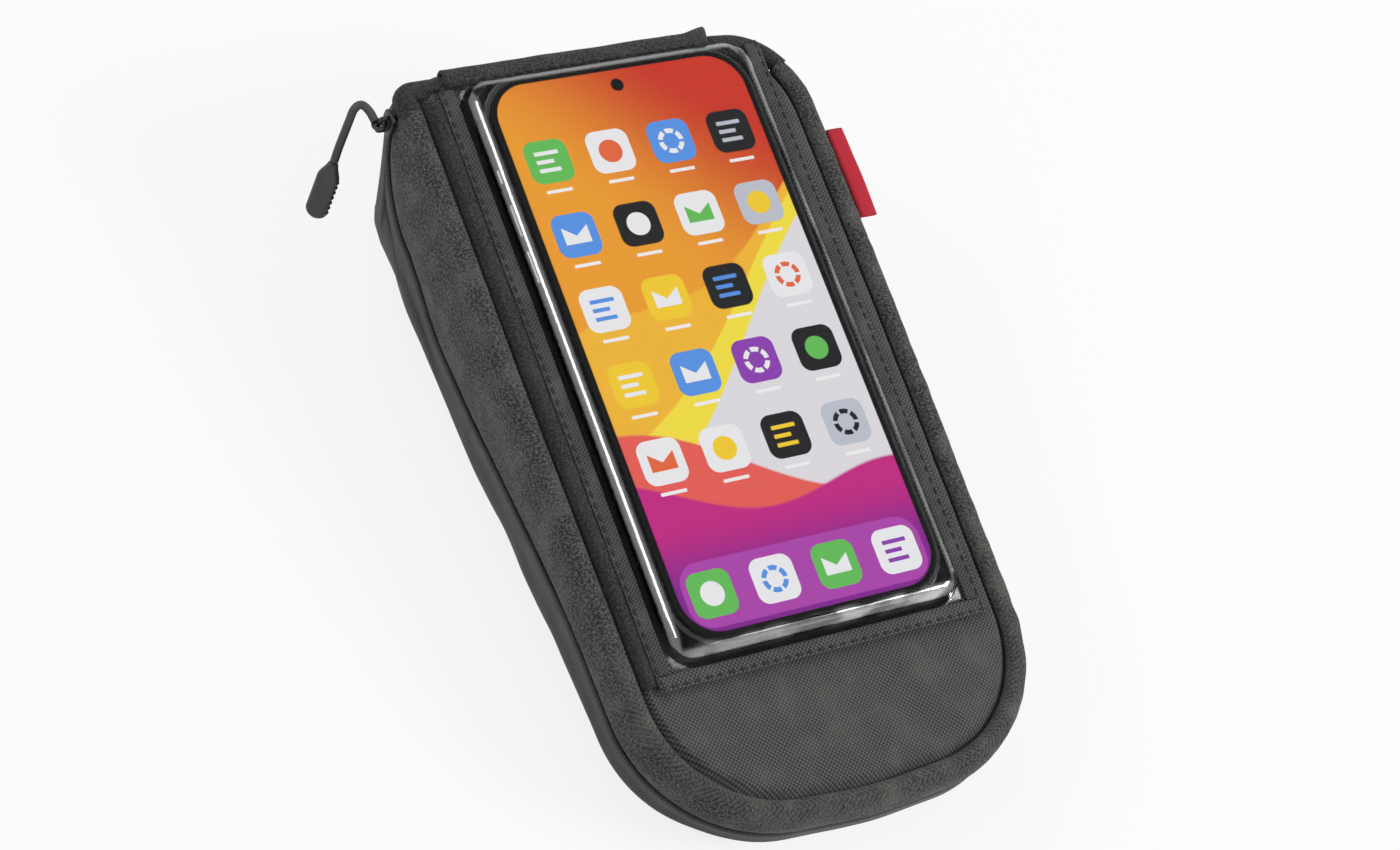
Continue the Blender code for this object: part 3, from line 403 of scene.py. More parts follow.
def split_xyz(tree, vector):
    return add(tree, "ShaderNodeSeparateXYZ", {0: vector}).outputs


def blend_colors(tree, factor, first, second):
    """Mixes two colours, each a socket or three numbers."""
    first, second = [(*color, 1.0) if isinstance(color, tuple) else color for color in (first, second)]
    return add(tree, "ShaderNodeMix", {0: factor, 6: first, 7: second}, data_type="RGBA").outputs[2]


def lighter(color, times):
    return tuple(min(1.0, value * times) for value in color)


def mottle(tree, vector, scale, detail=2.0, stretch=None):
    if stretch:
        vector = add(tree, "ShaderNodeMapping", {"Vector": vector, "Scale": stretch}).outputs[0]
    values = {"Vector": vector, "Scale": scale, "Detail": detail}
    return add(tree, "ShaderNodeTexNoise", values).outputs["Fac"]


def new_finish(name):
    finish = bpy.data.materials.new(name)
    finish.use_nodes = True
    tree = finish.node_tree
    return finish, tree, tree.nodes["Principled BSDF"]


def bumped(tree, height, bump):
    return add(tree, "ShaderNodeBump", {"Height": height, "Distance": bump * MM}).outputs[0]


# %% [markdown]
# ## Patterns that the finishes share
# Weave, rib and nap are node groups. Each takes the cloth's map and a pitch, and gives a height and a mask,
# so one group makes a fine tray cloth and a coarse tape alike.


# %% Weave, rib and nap
def start_pattern(name):
    group = bpy.data.node_groups.new(name, "ShaderNodeTree")
    for socket, way, kind in (("Vector", "INPUT", "Vector"), ("Pitch", "INPUT", "Float"),
                              ("Height", "OUTPUT", "Float"), ("Mask", "OUTPUT", "Float")):
        group.interface.new_socket(socket, in_out=way, socket_type="NodeSocket" + kind)
    given = group.nodes.new("NodeGroupInput").outputs
    place = split_xyz(group, given["Vector"])
    turn = calc(group, "DIVIDE", 2 * math.pi, given["Pitch"])
    return group, given, product(group, place["X"], turn), product(group, place["Y"], turn)


def end_pattern(group, height, mask):
    add(group, "NodeGroupOutput", {"Height": height, "Mask": mask})
    return group


def make_weave():
    """Plain weave: each thread rises where it crosses over the next."""
    group, given, x, y = start_pattern("weave")
    crossing = product(group, calc(group, "SINE", x), calc(group, "SINE", y))
    uneven = mottle(group, given["Vector"], 0.9, 3.0, (1.0, 0.25, 1.0))
    height = calc(group, "MULTIPLY_ADD", crossing, 0.5, 0.5)
    thread = product(group, height, calc(group, "MULTIPLY_ADD", uneven, 0.9, 0.4))
    return end_pattern(group, thread, calc(group, "POWER", height, 1.6))


def make_rib():
    """Grosgrain: firm ribs across the tape, each broken up by its threads."""
    group, given, x, y = start_pattern("rib")
    rib = half_wave(group, x)
    thread = half_wave(group, product(group, y, 1.7))
    height = calc(group, "MULTIPLY_ADD", thread, 0.35, rib)
    return end_pattern(group, height, product(group, rib, calc(group, "MULTIPLY_ADD", thread, 0.4, 0.6)))


def make_nap(name, knit_middle=None):
    """Short curls of fibre, a few of them pale. With a middle, the rim round it shows knitted loops."""
    group, given, x, y = start_pattern(name)
    scale = calc(group, "DIVIDE", 1.0, given["Pitch"])
    curls = mottle(group, given["Vector"], scale, 4.0)
    fine = mottle(group, given["Vector"], product(group, scale, 2.3))
    height = calc(group, "ADD", curls, product(group, fine, 0.5))
    mask = smooth(group, product(group, curls, fine), 0.215, 0.325)
    if knit_middle:
        place = split_xyz(group, given["Vector"])
        off_middle = calc(group, "ABSOLUTE", calc(group, "SUBTRACT", place["X"], knit_middle))
        at_end = calc(group, "MULTIPLY_ADD", smooth(group, off_middle, 96.0, 70.0), 0.5, 0.08)
        share = product(group, smooth(group, place["Y"], 7.0, 5.4), at_end)
        fold = calc(group, "ABSOLUTE", calc(group, "SUBTRACT", place["Y"], 3.4))
        uneven = calc(group, "MULTIPLY_ADD", curls, 3.2, place["X"])
        chevron = calc(group, "MULTIPLY_ADD", fold, 1.1, uneven)
        loops = product(group, share, half_wave(group, product(group, chevron, 4.2)))
        rest = calc(group, "SUBTRACT", 1.0, share)
        height = calc(group, "MULTIPLY_ADD", height, rest, loops)
        mask = calc(group, "MULTIPLY_ADD", mask, rest, loops)
    return end_pattern(group, height, mask)


WEAVE = make_weave()
RIB = make_rib()
NAP = make_nap("nap")
SIDE_KNIT = make_nap("side_knit", (RIGHT_ARC - LEFT_ARC) / 2 + ZIP_ARC_RADIUS - ZIP_SLOT)
print("patterns:", [group.name for group in (WEAVE, RIB, NAP, SIDE_KNIT)])


# %% [markdown]
# ## Cloth finishes
# Black cloth is never one black. The threads' tops are paler than the gaps, the dye is uneven over a few
# millimetres, and a soft sheen shows at a glancing angle.


# %% Cloth finish
def cloth_finish(name, deep, pale, group, pitch, bump, roughness=0.9, sheen=0.15, turn=0.0, uneven=0.35):
    finish, tree, surface = new_finish(name)
    place = add(tree, "ShaderNodeUVMap", uv_map="cloth").outputs[0]
    turned = add(tree, "ShaderNodeMapping", {"Vector": place, "Rotation": (0.0, 0.0, turn)}).outputs[0]
    pattern = add(tree, "ShaderNodeGroup", {"Vector": turned, "Pitch": pitch}, node_tree=group).outputs
    thread = blend_colors(tree, pattern["Mask"], deep, pale)
    faded = product(tree, smooth(tree, mottle(tree, place, 0.11, 4.0), 0.4, 0.75), uneven)
    fill(tree, surface, {
        "Base Color": blend_colors(tree, faded, thread, lighter(pale, 1.5)), "Roughness": roughness,
        "Sheen Weight": sheen, "Sheen Roughness": 0.5, "Normal": bumped(tree, pattern["Height"], bump),
    })
    return finish


WOVEN = cloth_finish("woven_fabric", (0.005, 0.005, 0.005), (0.125, 0.126, 0.117), WEAVE, 1.2, 0.22, 0.85,
                     0.05, uneven=0.16)
FLEECE = cloth_finish("fleece_fabric", (0.004, 0.004, 0.004), (0.104, 0.105, 0.097), SIDE_KNIT, 0.7, 0.26,
                      0.95, 0.05)
STRIP_NAP = cloth_finish("fleece_fabric", (0.005, 0.005, 0.005), (0.040, 0.041, 0.037), NAP, 0.85, 0.26,
                         0.95, 0.05)
MOUTH_NAP = cloth_finish("binding", (0.006, 0.006, 0.006), (0.062, 0.063, 0.057), NAP, 0.7, 0.24, 0.95, 0.05)
TRAY = cloth_finish("tray_fabric", (0.034, 0.035, 0.032), (0.062, 0.063, 0.058), RIB, 0.8, 0.06, 0.75, 0.06)
BINDING = cloth_finish("binding", (0.004, 0.004, 0.004), (0.092, 0.093, 0.086), WEAVE, 1.1, 0.2, 0.85, 0.05)
ZIP_TAPE = cloth_finish("zip_tape", (0.006, 0.006, 0.006), (0.024, 0.024, 0.023), RIB, 0.7, 0.1, 0.9, 0.03,
                        0.8)
FOAM = cloth_finish("foam", (0.004, 0.004, 0.004), (0.010, 0.010, 0.010), NAP, 1.4, 0.03, 0.95, 0.01)
LABEL = cloth_finish("label_red", (0.38, 0.002, 0.014), (0.56, 0.004, 0.028), RIB, 0.5, 0.05, 0.7, 0.02,
                     1.571, 0.06)


# %% [markdown]
# ## Hard finishes
# Moulded plastic and painted metal have a fine grain and broad random patches, a little paler and rougher,
# and the phone's frame is polished.
# They read the piece's own coordinates in metres, since these pieces aren't cut from cloth.


# %% Hard finish
def hard_finish(name, color, roughness, metallic, grain, bump, pale=1.5):
    finish, tree, surface = new_finish(name)
    place = add(tree, "ShaderNodeTexCoord").outputs["Object"]
    fine = mottle(tree, place, grain, 3.0)
    broad = mottle(tree, place, grain / 14.0, 3.0)
    fill(tree, surface, {
        "Base Color": blend_colors(tree, smooth(tree, broad, 0.35, 0.7), color, lighter(color, pale)),
        "Roughness": calc(tree, "MULTIPLY_ADD", broad, 0.15, roughness - 0.07),
        "Metallic": metallic, "Normal": bumped(tree, fine, bump),
    })
    return finish


ZIP_PLASTIC = hard_finish("zip_plastic", (0.014, 0.014, 0.015), 0.42, 0.0, 2500.0, 0.01)
SLIDER_METAL = hard_finish("slider_metal", (0.022, 0.022, 0.023), 0.34, 0.4, 3000.0, 0.01)
PULL_RUBBER = hard_finish("pull_rubber", (0.026, 0.026, 0.028), 0.5, 0.0, 3500.0, 0.015)
ADAPTER = hard_finish("adapter_plastic", (0.018, 0.018, 0.019), 0.5, 0.0, 2600.0, 0.03)
STEEL = hard_finish("steel", (0.50, 0.50, 0.51), 0.3, 1.0, 1800.0, 0.008, 1.2)
PHONE_METAL = hard_finish("phone_metal", (0.040, 0.041, 0.045), 0.26, 1.0, 3000.0, 0.002, 1.2)
SOLID_FINISHES = (
    ("adapter_plate", ADAPTER), ("base_board", ADAPTER), ("adapter_screw", STEEL), ("adapter_nut", STEEL),
    ("phone_case", PHONE_METAL), ("zip_stop", ZIP_PLASTIC),
)


def refinish(mesh, finish):
    mesh.materials.clear()
    mesh.materials.append(finish)


for node_name, node_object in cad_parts.items():
    for prefix, finish in SOLID_FINISHES:
        if node_name.startswith(prefix):
            refinish(node_object.data, finish)

# %% [markdown]
# ## The clear film
# A thin clear sheet mirrors a little of what is in front of it and a lot at a glancing angle, and the rest
# passes through. A mirror whose alpha is that share gives just this, with no refraction to slow the picture
# down. The share comes from Layer Weight's Facing, which is the same on both sides of the sheet. Fresnel
# isn't: from inside a solid it goes over to a full mirror. On top of it the share is raised by place, as
# painted light: a band along the roll round the phone is a painted highlight, and streaks at the rider's
# end and a band beside the phone's right side are painted reflections.


# %% Film finish
def make_film_finish():
    finish, tree, surface = new_finish("film")
    place = add(tree, "ShaderNodeUVMap", uv_map="cloth").outputs[0]
    x, y = split_xyz(tree, place)[:2]
    from_side = calc(tree, "SUBTRACT", WINDOW_HALF, calc(tree, "ABSOLUTE", x))
    from_middle = calc(tree, "ABSOLUTE", calc(tree, "ADD", y, -(WINDOW_FAR + WINDOW_RIDER) / 2))
    from_end = calc(tree, "SUBTRACT", (WINDOW_FAR - WINDOW_RIDER) / 2, from_middle)
    inset = calc(tree, "MINIMUM", from_side, from_end)
    off_edge = smooth(tree, inset, 0.1, 0.6)
    # painted highlight: the film mirrors more in a band along its roll round the phone
    roll = product(tree, smooth(tree, inset, 0.8, 1.3), smooth(tree, inset, 3.4, 2.4))
    # painted reflection: streaks across the rider's end, stronger towards the right
    painted_streaks_wide = smooth(tree, mottle(tree, place, 0.10, 1.0, (1.0, 2.6, 1.0)), 0.40, 0.66)
    painted_share_to_right = calc(tree, "MULTIPLY_ADD", smooth(tree, x, -20.0, 30.0), 0.26, 0.10)
    painted_rider_reflection = product(tree, smooth(tree, y, -76.5, -79.5), off_edge, painted_streaks_wide, painted_share_to_right)
    # painted reflection: long streaks in a band beside the phone's right side
    painted_streaks_long = smooth(tree, mottle(tree, place, 0.12, 1.0, (2.5, 0.5, 1.0)), 0.3, 0.65)
    slack = product(tree, smooth(tree, x, 37.6, 39.8), off_edge, painted_streaks_long, 0.17)
    steep = calc(tree, "POWER", add(tree, "ShaderNodeLayerWeight").outputs["Facing"], 5.0)
    share = calc(tree, "MULTIPLY_ADD", roll, 0.085, calc(tree, "MULTIPLY_ADD", steep, 0.8, 0.005))
    fill(tree, surface, {
        "Base Color": (0.90, 0.91, 0.92, 1.0), "Metallic": 1.0, "Roughness": 0.09,
        "Alpha": calc(tree, "ADD", share, calc(tree, "ADD", painted_rider_reflection, slack)),
    })
    return finish


FILM = make_film_finish()

# %% [markdown]
# ## Top panel
# The panel is woven cloth with a hole for the window. It lies flat under the tapes, swells a little beyond
# them, and sinks into the seam beside the rim. Stitching gathers the cloth, so short folds run away from
# the seams. The grid runs from the window's outline out to the panel's, corner to corner, and two more rows
# tuck it under the rim.

# %% Make the top panel
SIDE_STEPS = (110, 64, 110, 46)
CORNER_STEPS = 16
PANEL_SHARES = np.concatenate((np.linspace(0.0, 0.8, 22), np.linspace(0.83, 1.0, 8)))
TUCKED_ROWS = ((0.7, 2.1), (1.5, 2.4))
TAPE_REACH = 4.8


def panel_height(x, y, from_window, from_rim):
    beyond = float(eased((from_window - TAPE_REACH) / 3.0))
    field = float(eased((-y - 86.0) / 8.0))
    crown = 0.25 + field * 0.75 * math.sin(min(1.0, from_rim / 16.0) * math.pi / 2)
    folds = 1.5 * field * ripple(x * 0.9 + y * 0.45, y * 0.30, 12.0, 3.0)
    folds += 0.18 * ripple(x, y * 0.5, 5.0, 7.0)
    gathers = 0.30 * ripple(x, y * 0.18, 3.2, 11.0) * math.exp(-max(from_window - TAPE_REACH, 0.0) / 7.0)
    rim_gathers = 0.22 * ripple(x, y, 4.2, 17.0) * math.exp(-from_rim / 6.0)
    seam = 1.7 * float(eased(1.0 - from_rim / 2.2))
    return PANEL_TOP + beyond * (crown + folds + gathers + rim_gathers) - seam


window_outline = box_outline(WINDOW_HALF + 0.2, WINDOW_RIDER - 0.2, WINDOW_FAR + 0.2, WINDOW_CORNER)
inner = window_outline.at(window_outline.stations(SIDE_STEPS, CORNER_STEPS))
panel_stations = PANEL.stations(SIDE_STEPS, CORNER_STEPS)
outer = PANEL.at(panel_stations)
panel_reach = np.linalg.norm(outer - inner, axis=1)
panel_rows = []
for share in PANEL_SHARES:
    flat = inner + (outer - inner) * share
    panel_rows.append([(x, y, panel_height(x, y, share * length, (1.0 - share) * length))
                       for (x, y), length in zip(flat, panel_reach)])
for out, sink in TUCKED_ROWS:
    tucked = outer + PANEL.outward(panel_stations) * out
    panel_rows.append([(x, y, PANEL_TOP - sink) for x, y in tucked])
cloth("panel_cloth", panel_rows, 1.0, WOVEN, "lid", closed=True, flat_map=True, offset=-1.0,
      replaces=("top_panel",))

# %% [markdown]
# ## Window film
# The film is welded flat round its edge, stands up beside the phone and rolls over its edge. Soft film
# never lies quite flat: its sides wave, and its corners, where it has too much length, fold into creases.
# Each entry of the profile is how far out from the window's edge the film lies, and its height.

# %% Make the window film
FILM_PROFILE = (
    (3.6, -4.95), (2.0, -4.95), (0.9, -4.93), (0.35, -4.75), (0.1, -4.35), (-0.1, -3.8), (-0.3, -3.2),
    (-0.5, -2.6), (-0.66, -2.15), (-0.80, -1.72), (-1.0, -1.36), (-1.26, -1.04), (-1.62, -0.68),
    (-1.99, -0.33), (-2.37, 0.01), (-2.76, 0.32), (-3.3, 0.58), (-3.9, 0.69), (-4.9, 0.72),
)
FILM_TOP = FILM_PROFILE[-1][1]
SPINE_SHARES = (0.08, 0.18, 0.3, 0.44, 0.6, 0.78, 1.0)
SPINE_END = 52.0
CREASED_CORNERS = ((41.0, 79.0), (41.0, -80.0))
CREASE_REACH = 13.0
film_base = box_outline(WINDOW_HALF, WINDOW_RIDER, WINDOW_FAR, WINDOW_CORNER)
film_stations = film_base.stations((120, 64, 120, 60), 20)
film_flat = film_base.at(film_stations)


def corner_share(x, y):
    nearest = min(math.hypot(abs(x) - corner_x, y - corner_y) for corner_x, corner_y in CREASED_CORNERS)
    return max(0.0, 1.0 - nearest / CREASE_REACH)


def film_wave(x, y, z, corner):
    up = float(eased((z + 5.0) / 2.0)) * float(eased((1.6 - z) / 1.4))
    side = 0.20 * ripple(x * 0.5, y * 0.5, 22.0, 23.0)
    crease = corner * (0.34 * ripple(x, y, 5.5, 31.0) + 0.14 * math.sin((x - y) * 0.8))
    return up * (side + crease)


def film_point(x, y, out_x, out_y, grow, z):
    corner = corner_share(x, y)
    narrow = 0.36 if out_y > 0.5 and grow > 0.0 else 1.0
    push = grow * narrow + (film_wave(x, y, z, corner) if grow < 0.6 else 0.0)
    dip = 0.30 * corner * ripple(x, y, 5.0, 37.0) if z > -0.6 else 0.0
    return x + out_x * push, y + out_y * push, z + dip


film_places = list(zip(film_flat, film_base.outward(film_stations)))
film_rows = [[film_point(*flat, *out, grow, z) for flat, out in film_places] for grow, z in FILM_PROFILE]
edge_row = film_rows[-1]
for share in SPINE_SHARES:
    row = []
    for (x, y, _), (_, plain_y) in zip(edge_row, film_flat):
        to_x = x * (1.0 - share)
        to_y = y + (max(-SPINE_END, min(SPINE_END, plain_y)) - y) * share
        row.append((to_x, to_y, FILM_TOP + 0.10 * ripple(to_x, to_y, 26.0, 41.0) * min(1.0, share * 4.0)))
    film_rows.append(row)
cloth("film_cover", film_rows, 0.3, FILM, "lid", closed=True, flat_map=True, replaces=("window_film",))

# %% [markdown]
# ## Tapes round the window
# Three straight tapes cover the film's welded edge. Each is a narrow grid whose long edges roll down a
# little, and which rises and falls between its stitches. A groove runs along its seam.

# %% Make the window tapes
TAPE_WIDTH = 4.0
TAPE_MIDDLE = 42.55 + TAPE_WIDTH / 2
TAPE_FAR = 79.1
TAPE_RIDER = -81.75
TAPE_CROSS_Y = TAPE_RIDER - 0.15 - TAPE_WIDTH / 2
TAPE_Z = -4.08


def tape(name, start, end, width, seam_side, replaces, finish=BINDING):
    start = np.array(start)
    length = float(np.linalg.norm(np.array(end) - start))
    along = (np.array(end) - start) / length
    side = np.array((-along[1], along[0]))
    rows = []
    for across in np.linspace(-0.5, 0.5, 21):
        edge = 0.22 * (abs(across) * 2.0) ** 4
        groove = 0.18 * math.exp(-((across * seam_side - 0.3) / 0.09) ** 2)
        row = []
        for step in np.linspace(0.0, length, int(length / 1.3)):
            flat = start + along * step + side * (across * width + 0.10 * ripple(step, across, 7.0, 43.0))
            row.append((*flat, TAPE_Z - edge + 0.10 * ripple(step, across * 3.0, 4.0, 47.0) - groove))
        rows.append(row)
    cloth(name, rows, 0.55, finish, "lid", replaces=replaces)


tape("tape_left", (-TAPE_MIDDLE, TAPE_RIDER), (-TAPE_MIDDLE, TAPE_FAR), TAPE_WIDTH, 1, ("window_tape_left",))
tape("tape_right", (TAPE_MIDDLE, TAPE_RIDER), (TAPE_MIDDLE, TAPE_FAR), TAPE_WIDTH, -1, ("window_tape_right",))
tape("tape_rider", (-46.5, TAPE_CROSS_Y), (46.5, TAPE_CROSS_Y), TAPE_WIDTH - 0.3, -1, ("window_tape_rider",),
     WOVEN)

# %% [markdown]
# ## Fleecy strip beside the left tape
# The panel's narrow left side is covered with the same fleecy knit as the sides, cut as a strip that
# follows the panel's edge and sinks into the seam beside the rim.

# %% Make the fleecy strip
STRIP_INNER = -46.4


def strip_point(share, edge_x, y):
    x = STRIP_INNER + (edge_x + 0.4 - STRIP_INNER) * share
    crown = 0.45 * math.sin(math.pi * min(1.0, share * 1.1)) - 1.7 * float(eased((share - 0.72) / 0.28))
    soft = 0.14 * ripple(y, x, 5.0, 97.0) + 0.08 * ripple(y, x, 2.2, 101.0)
    return x, y, PANEL_TOP + 0.55 + crown + soft


strip_edge = [(x, y) for x, y in PANEL.at(np.arange(12.0, 200.0, 1.4)) if -84.5 < y < 78.0]
strip_rows = [[strip_point(share, x, y) for x, y in strip_edge] for share in np.linspace(0.0, 1.0, 9)]
cloth("fleece_strip", strip_rows, 0.8, STRIP_NAP, "lid")

# %% [markdown]
# ## Binding at the pocket's mouth
# A tape is folded over the panel's far edge, where the phone goes in. Its cut end lifts at the right.

# %% Make the mouth binding
MOUTH_SECTION = (
    (80.2, -4.05), (81.2, -3.92), (82.6, -3.86), (83.8, -3.9), (84.5, -4.15), (84.95, -4.7), (85.1, -5.4),
    (85.05, -6.2), (84.9, -7.1),
)


def mouth_point(x, y, z):
    lift = 1.1 * float(eased((x - 26.0) / 6.0)) * float(eased((y - 81.0) / 3.0))
    return x, y + 0.2 * ripple(x, y, 9.0, 53.0) + lift * 0.5, z + 0.22 * ripple(x, y, 6.0, 59.0) + lift


mouth_rows = [[mouth_point(x, y, z) for x in np.linspace(-44.0, 32.0, 90)] for y, z in MOUTH_SECTION]
cloth("mouth_tape", mouth_rows, 0.85, MOUTH_NAP, "lid", replaces=("mouth_binding",))

# %% [markdown]
# ## Fleecy side of the lid
# One strip of fleecy knit starts in the seam beside the panel, rolls over as a soft rim and falls as a wall
# to the zip. The profile is read in two parts: the rim, which is the same all round, and the wall, whose
# height follows the zip.

# %% Make the fleecy side
RIM_PROFILE = (
    (4.9, -7.1), (4.75, -6.2), (4.35, -5.5), (3.75, -5.08), (3.04, -4.95), (2.2, -5.0), (1.37, -5.3),
    (0.75, -5.95), (0.3, -6.9),
)
SIDE_TOP = -8.5
TALLEST = ZIP_TOP - ZIP_ARC_RADIUS + ZIP_SLOT
BAND_RADIUS = ZIP_ARC_RADIUS - ZIP_SLOT


def rim_point(inset, z, distance, x, y, out_x, out_y):
    soft = 0.20 * ripple(distance, inset, 7.0, 61.0) + 0.10 * ripple(distance, inset * 2.0, 2.6, 67.0)
    push = -inset + (soft if inset < 4.6 else 0.0)
    return x + out_x * push, y + out_y * push, z + soft


def side_point(share, distance, x, y, out_x, out_y):
    low = zip_z(float(distance), ZIP_SLOT)
    fullness = (SIDE_TOP - low) / (SIDE_TOP - TALLEST)
    z = SIDE_TOP + (low - SIDE_TOP) * share
    bulge = 1.4 * math.sin(math.pi * share) * fullness
    folds = 0.55 * fullness * ripple(distance, z * 1.4, 19.0, 71.0)
    folds *= math.sin(math.pi * min(1.0, share * 1.2))
    seam = 0.12 * ripple(distance, z, 2.8, 73.0) - 0.35 * float(eased((share - 0.88) / 0.12))
    push = bulge + folds + seam
    return x + out_x * push, y + out_y * push, z


def wall_stations(run):
    """For each distance along the wall: the distance, the place and the direction outwards."""
    return [(distance, *flat, *out) for distance, flat, out in zip(run, WALL.at(run), WALL.outward(run))]


band_stations = wall_stations(zip_run(BAND_RADIUS, BAND_END_ANGLE, 1.25))
band_rows = [[rim_point(inset, z, *station) for station in band_stations] for inset, z in RIM_PROFILE]
band_rows += [[side_point(share, *station) for station in band_stations]
              for share in np.linspace(0.0, 1.0, 20)]
cloth("fleece_side", band_rows, 1.1, FLEECE, "lid", replaces=("lid_side_band",))

# %% [markdown]
# ## Rim at the far corners
# Past the zip's ends there is no wall on the lid, but its rim goes on round both far corners and ends under
# the binding at the pocket's mouth.

# %% Make the corner rims
CORNER_PROFILE = RIM_PROFILE + ((0.1, -8.0), (0.15, -9.0), (0.6, -9.5), (2.2, -9.4))
BAND_REACH = BAND_RADIUS * math.cos(math.radians(BAND_END_ANGLE))


def corner_point(inset, z, distance, x, y, out_x, out_y):
    soft = 0.16 * ripple(distance, inset, 6.0, 103.0)
    push = 1.5 * float(eased(out_y)) - inset + soft
    return x + out_x * push, y + out_y * push, z + soft


for name, start, end in (("rim_far_left", -13.0, LEFT_ARC - BAND_REACH + 1.5),
                         ("rim_far_right", RIGHT_ARC + BAND_REACH - 1.5, WALL.length - 82.0)):
    corner_stations = wall_stations(np.linspace(start, end, int(abs(end - start) / 0.8)))
    corner_rows = [[corner_point(inset, z, *station) for station in corner_stations]
                   for inset, z in CORNER_PROFILE]
    cloth(name, corner_rows, 0.9, STRIP_NAP, "lid")

# %% [markdown]
# ## Fold behind the lid
# The lid's hinge is a strip of cloth that runs up from the tray's far wall. On the bag its lower edge is held
# by the tray and its upper edge by the lid, so it bends between them when the lid opens. Here it is one still
# mesh that rides on no body.

# %% Make the fold
FOLD_SECTION = (
    (83.75, -14.0), (83.8, -13.0), (83.85, -12.0), (83.9, -11.2), (84.0, -10.6), (84.1, -10.0), (84.2, -9.4),
    (84.25, -8.8), (84.25, -8.2), (84.2, -7.6), (84.1, -7.0),
)
fold_rows = [[(x, y + 0.12 * ripple(x, z, 9.0, 107.0), z) for x in np.linspace(-50.5, 36.0, 96)]
             for y, z in FOLD_SECTION]
fold = cloth("lid_fold", fold_rows, 0.8, STRIP_NAP, None)
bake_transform(fold)

# %% [markdown]
# ## Tray
# The tray's cloth is smooth and firm. It stands upright below the zip, leans to a shoulder and rounds under
# into the base, where it laps over the base cloth. It has shallow dents where nothing inside pushes it out.


# %% Make the tray
def tray_top(distance):
    if past_middle(distance) > ZIP_ARC_RADIUS + ZIP_SLOT:
        return FAR_WALL_TOP
    return min(FAR_WALL_TOP, zip_z(distance, -ZIP_SLOT))


def same_place(outline, distances):
    """Points of another outline that lie at the same share of each corner and side of the wall."""
    knots, matched = [[edge for span in line.corners for edge in span] + [line.length + line.corners[0][0]]
                      for line in (WALL, outline)]
    return outline.at(np.interp(np.mod(distances, WALL.length), knots, matched))


TRAY_ANGLES = np.radians(np.linspace(0.0, 90.0, 12))
LAP = 3.0


def tray_column(distance, wall, shoulder, base):
    """Points from the zip down the wall and under the bag."""
    top = tray_top(distance % WALL.length if distance < WALL.length else distance - WALL.length)
    rounding = min(12.0, (top - base_z(wall[1])) * 0.5)
    shoulder_z = base_z(shoulder[1]) + rounding
    straight = max(0.6, min(5.5, top - shoulder_z - 1.0))
    column = [(*wall, top - straight * share) for share in (0.0, 0.12, 0.5, 1.0)]
    for share in (0.33, 0.66):
        flat = wall + (shoulder - wall) * share
        column.append((*flat, top - straight + (shoulder_z - top + straight) * share))
    for angle in TRAY_ANGLES:
        flat = shoulder + (base - shoulder) * (1.0 - math.cos(angle))
        column.append((*flat, base_z(flat[1]) + rounding * (1.0 - math.sin(angle))))
    lapped = base + (base - shoulder) / np.linalg.norm(base - shoulder) * LAP
    return column + [(*lapped, base_z(lapped[1]) + 0.2)]


zip_part = zip_run(ZIP_ARC_RADIUS + ZIP_SLOT, 0.0, 1.6)
tray_run = np.concatenate((zip_part, np.linspace(zip_part[-1], WALL.length + zip_part[0], 90)[1:-1]))
tray_places = zip(tray_run, WALL.at(tray_run), same_place(SHOULDER, tray_run), same_place(BASE, tray_run))
tray_columns = [tray_column(float(distance), *flats) for distance, *flats in tray_places]
tray_rows = np.array(tray_columns).transpose(1, 0, 2)
for row, points in enumerate(tray_rows):
    depth = math.sin(math.pi * row / (len(tray_rows) - 1))
    for point, distance in zip(points, tray_run):
        away = Vector((point[0], point[1] + 20.0)).normalized()
        broad = 0.8 * ripple(distance, point[2] * 1.5, 24.0, 79.0)
        dent = depth * (broad + 0.10 * ripple(distance, point[2], 8.0, 83.0))
        point[:2] += away.x * dent, away.y * dent
cloth("tray_cloth", tray_rows, 1.4, TRAY, "bag", closed=True, replaces=("lower_gusset",))

# %% [markdown]
# ## Things that repeat
# Stitches and the zip's coil are one small shape set many times along a line. A Geometry Nodes tree takes
# the line, sets the shape at an even pitch and turns it along the line. The result is then kept as a plain
# mesh.


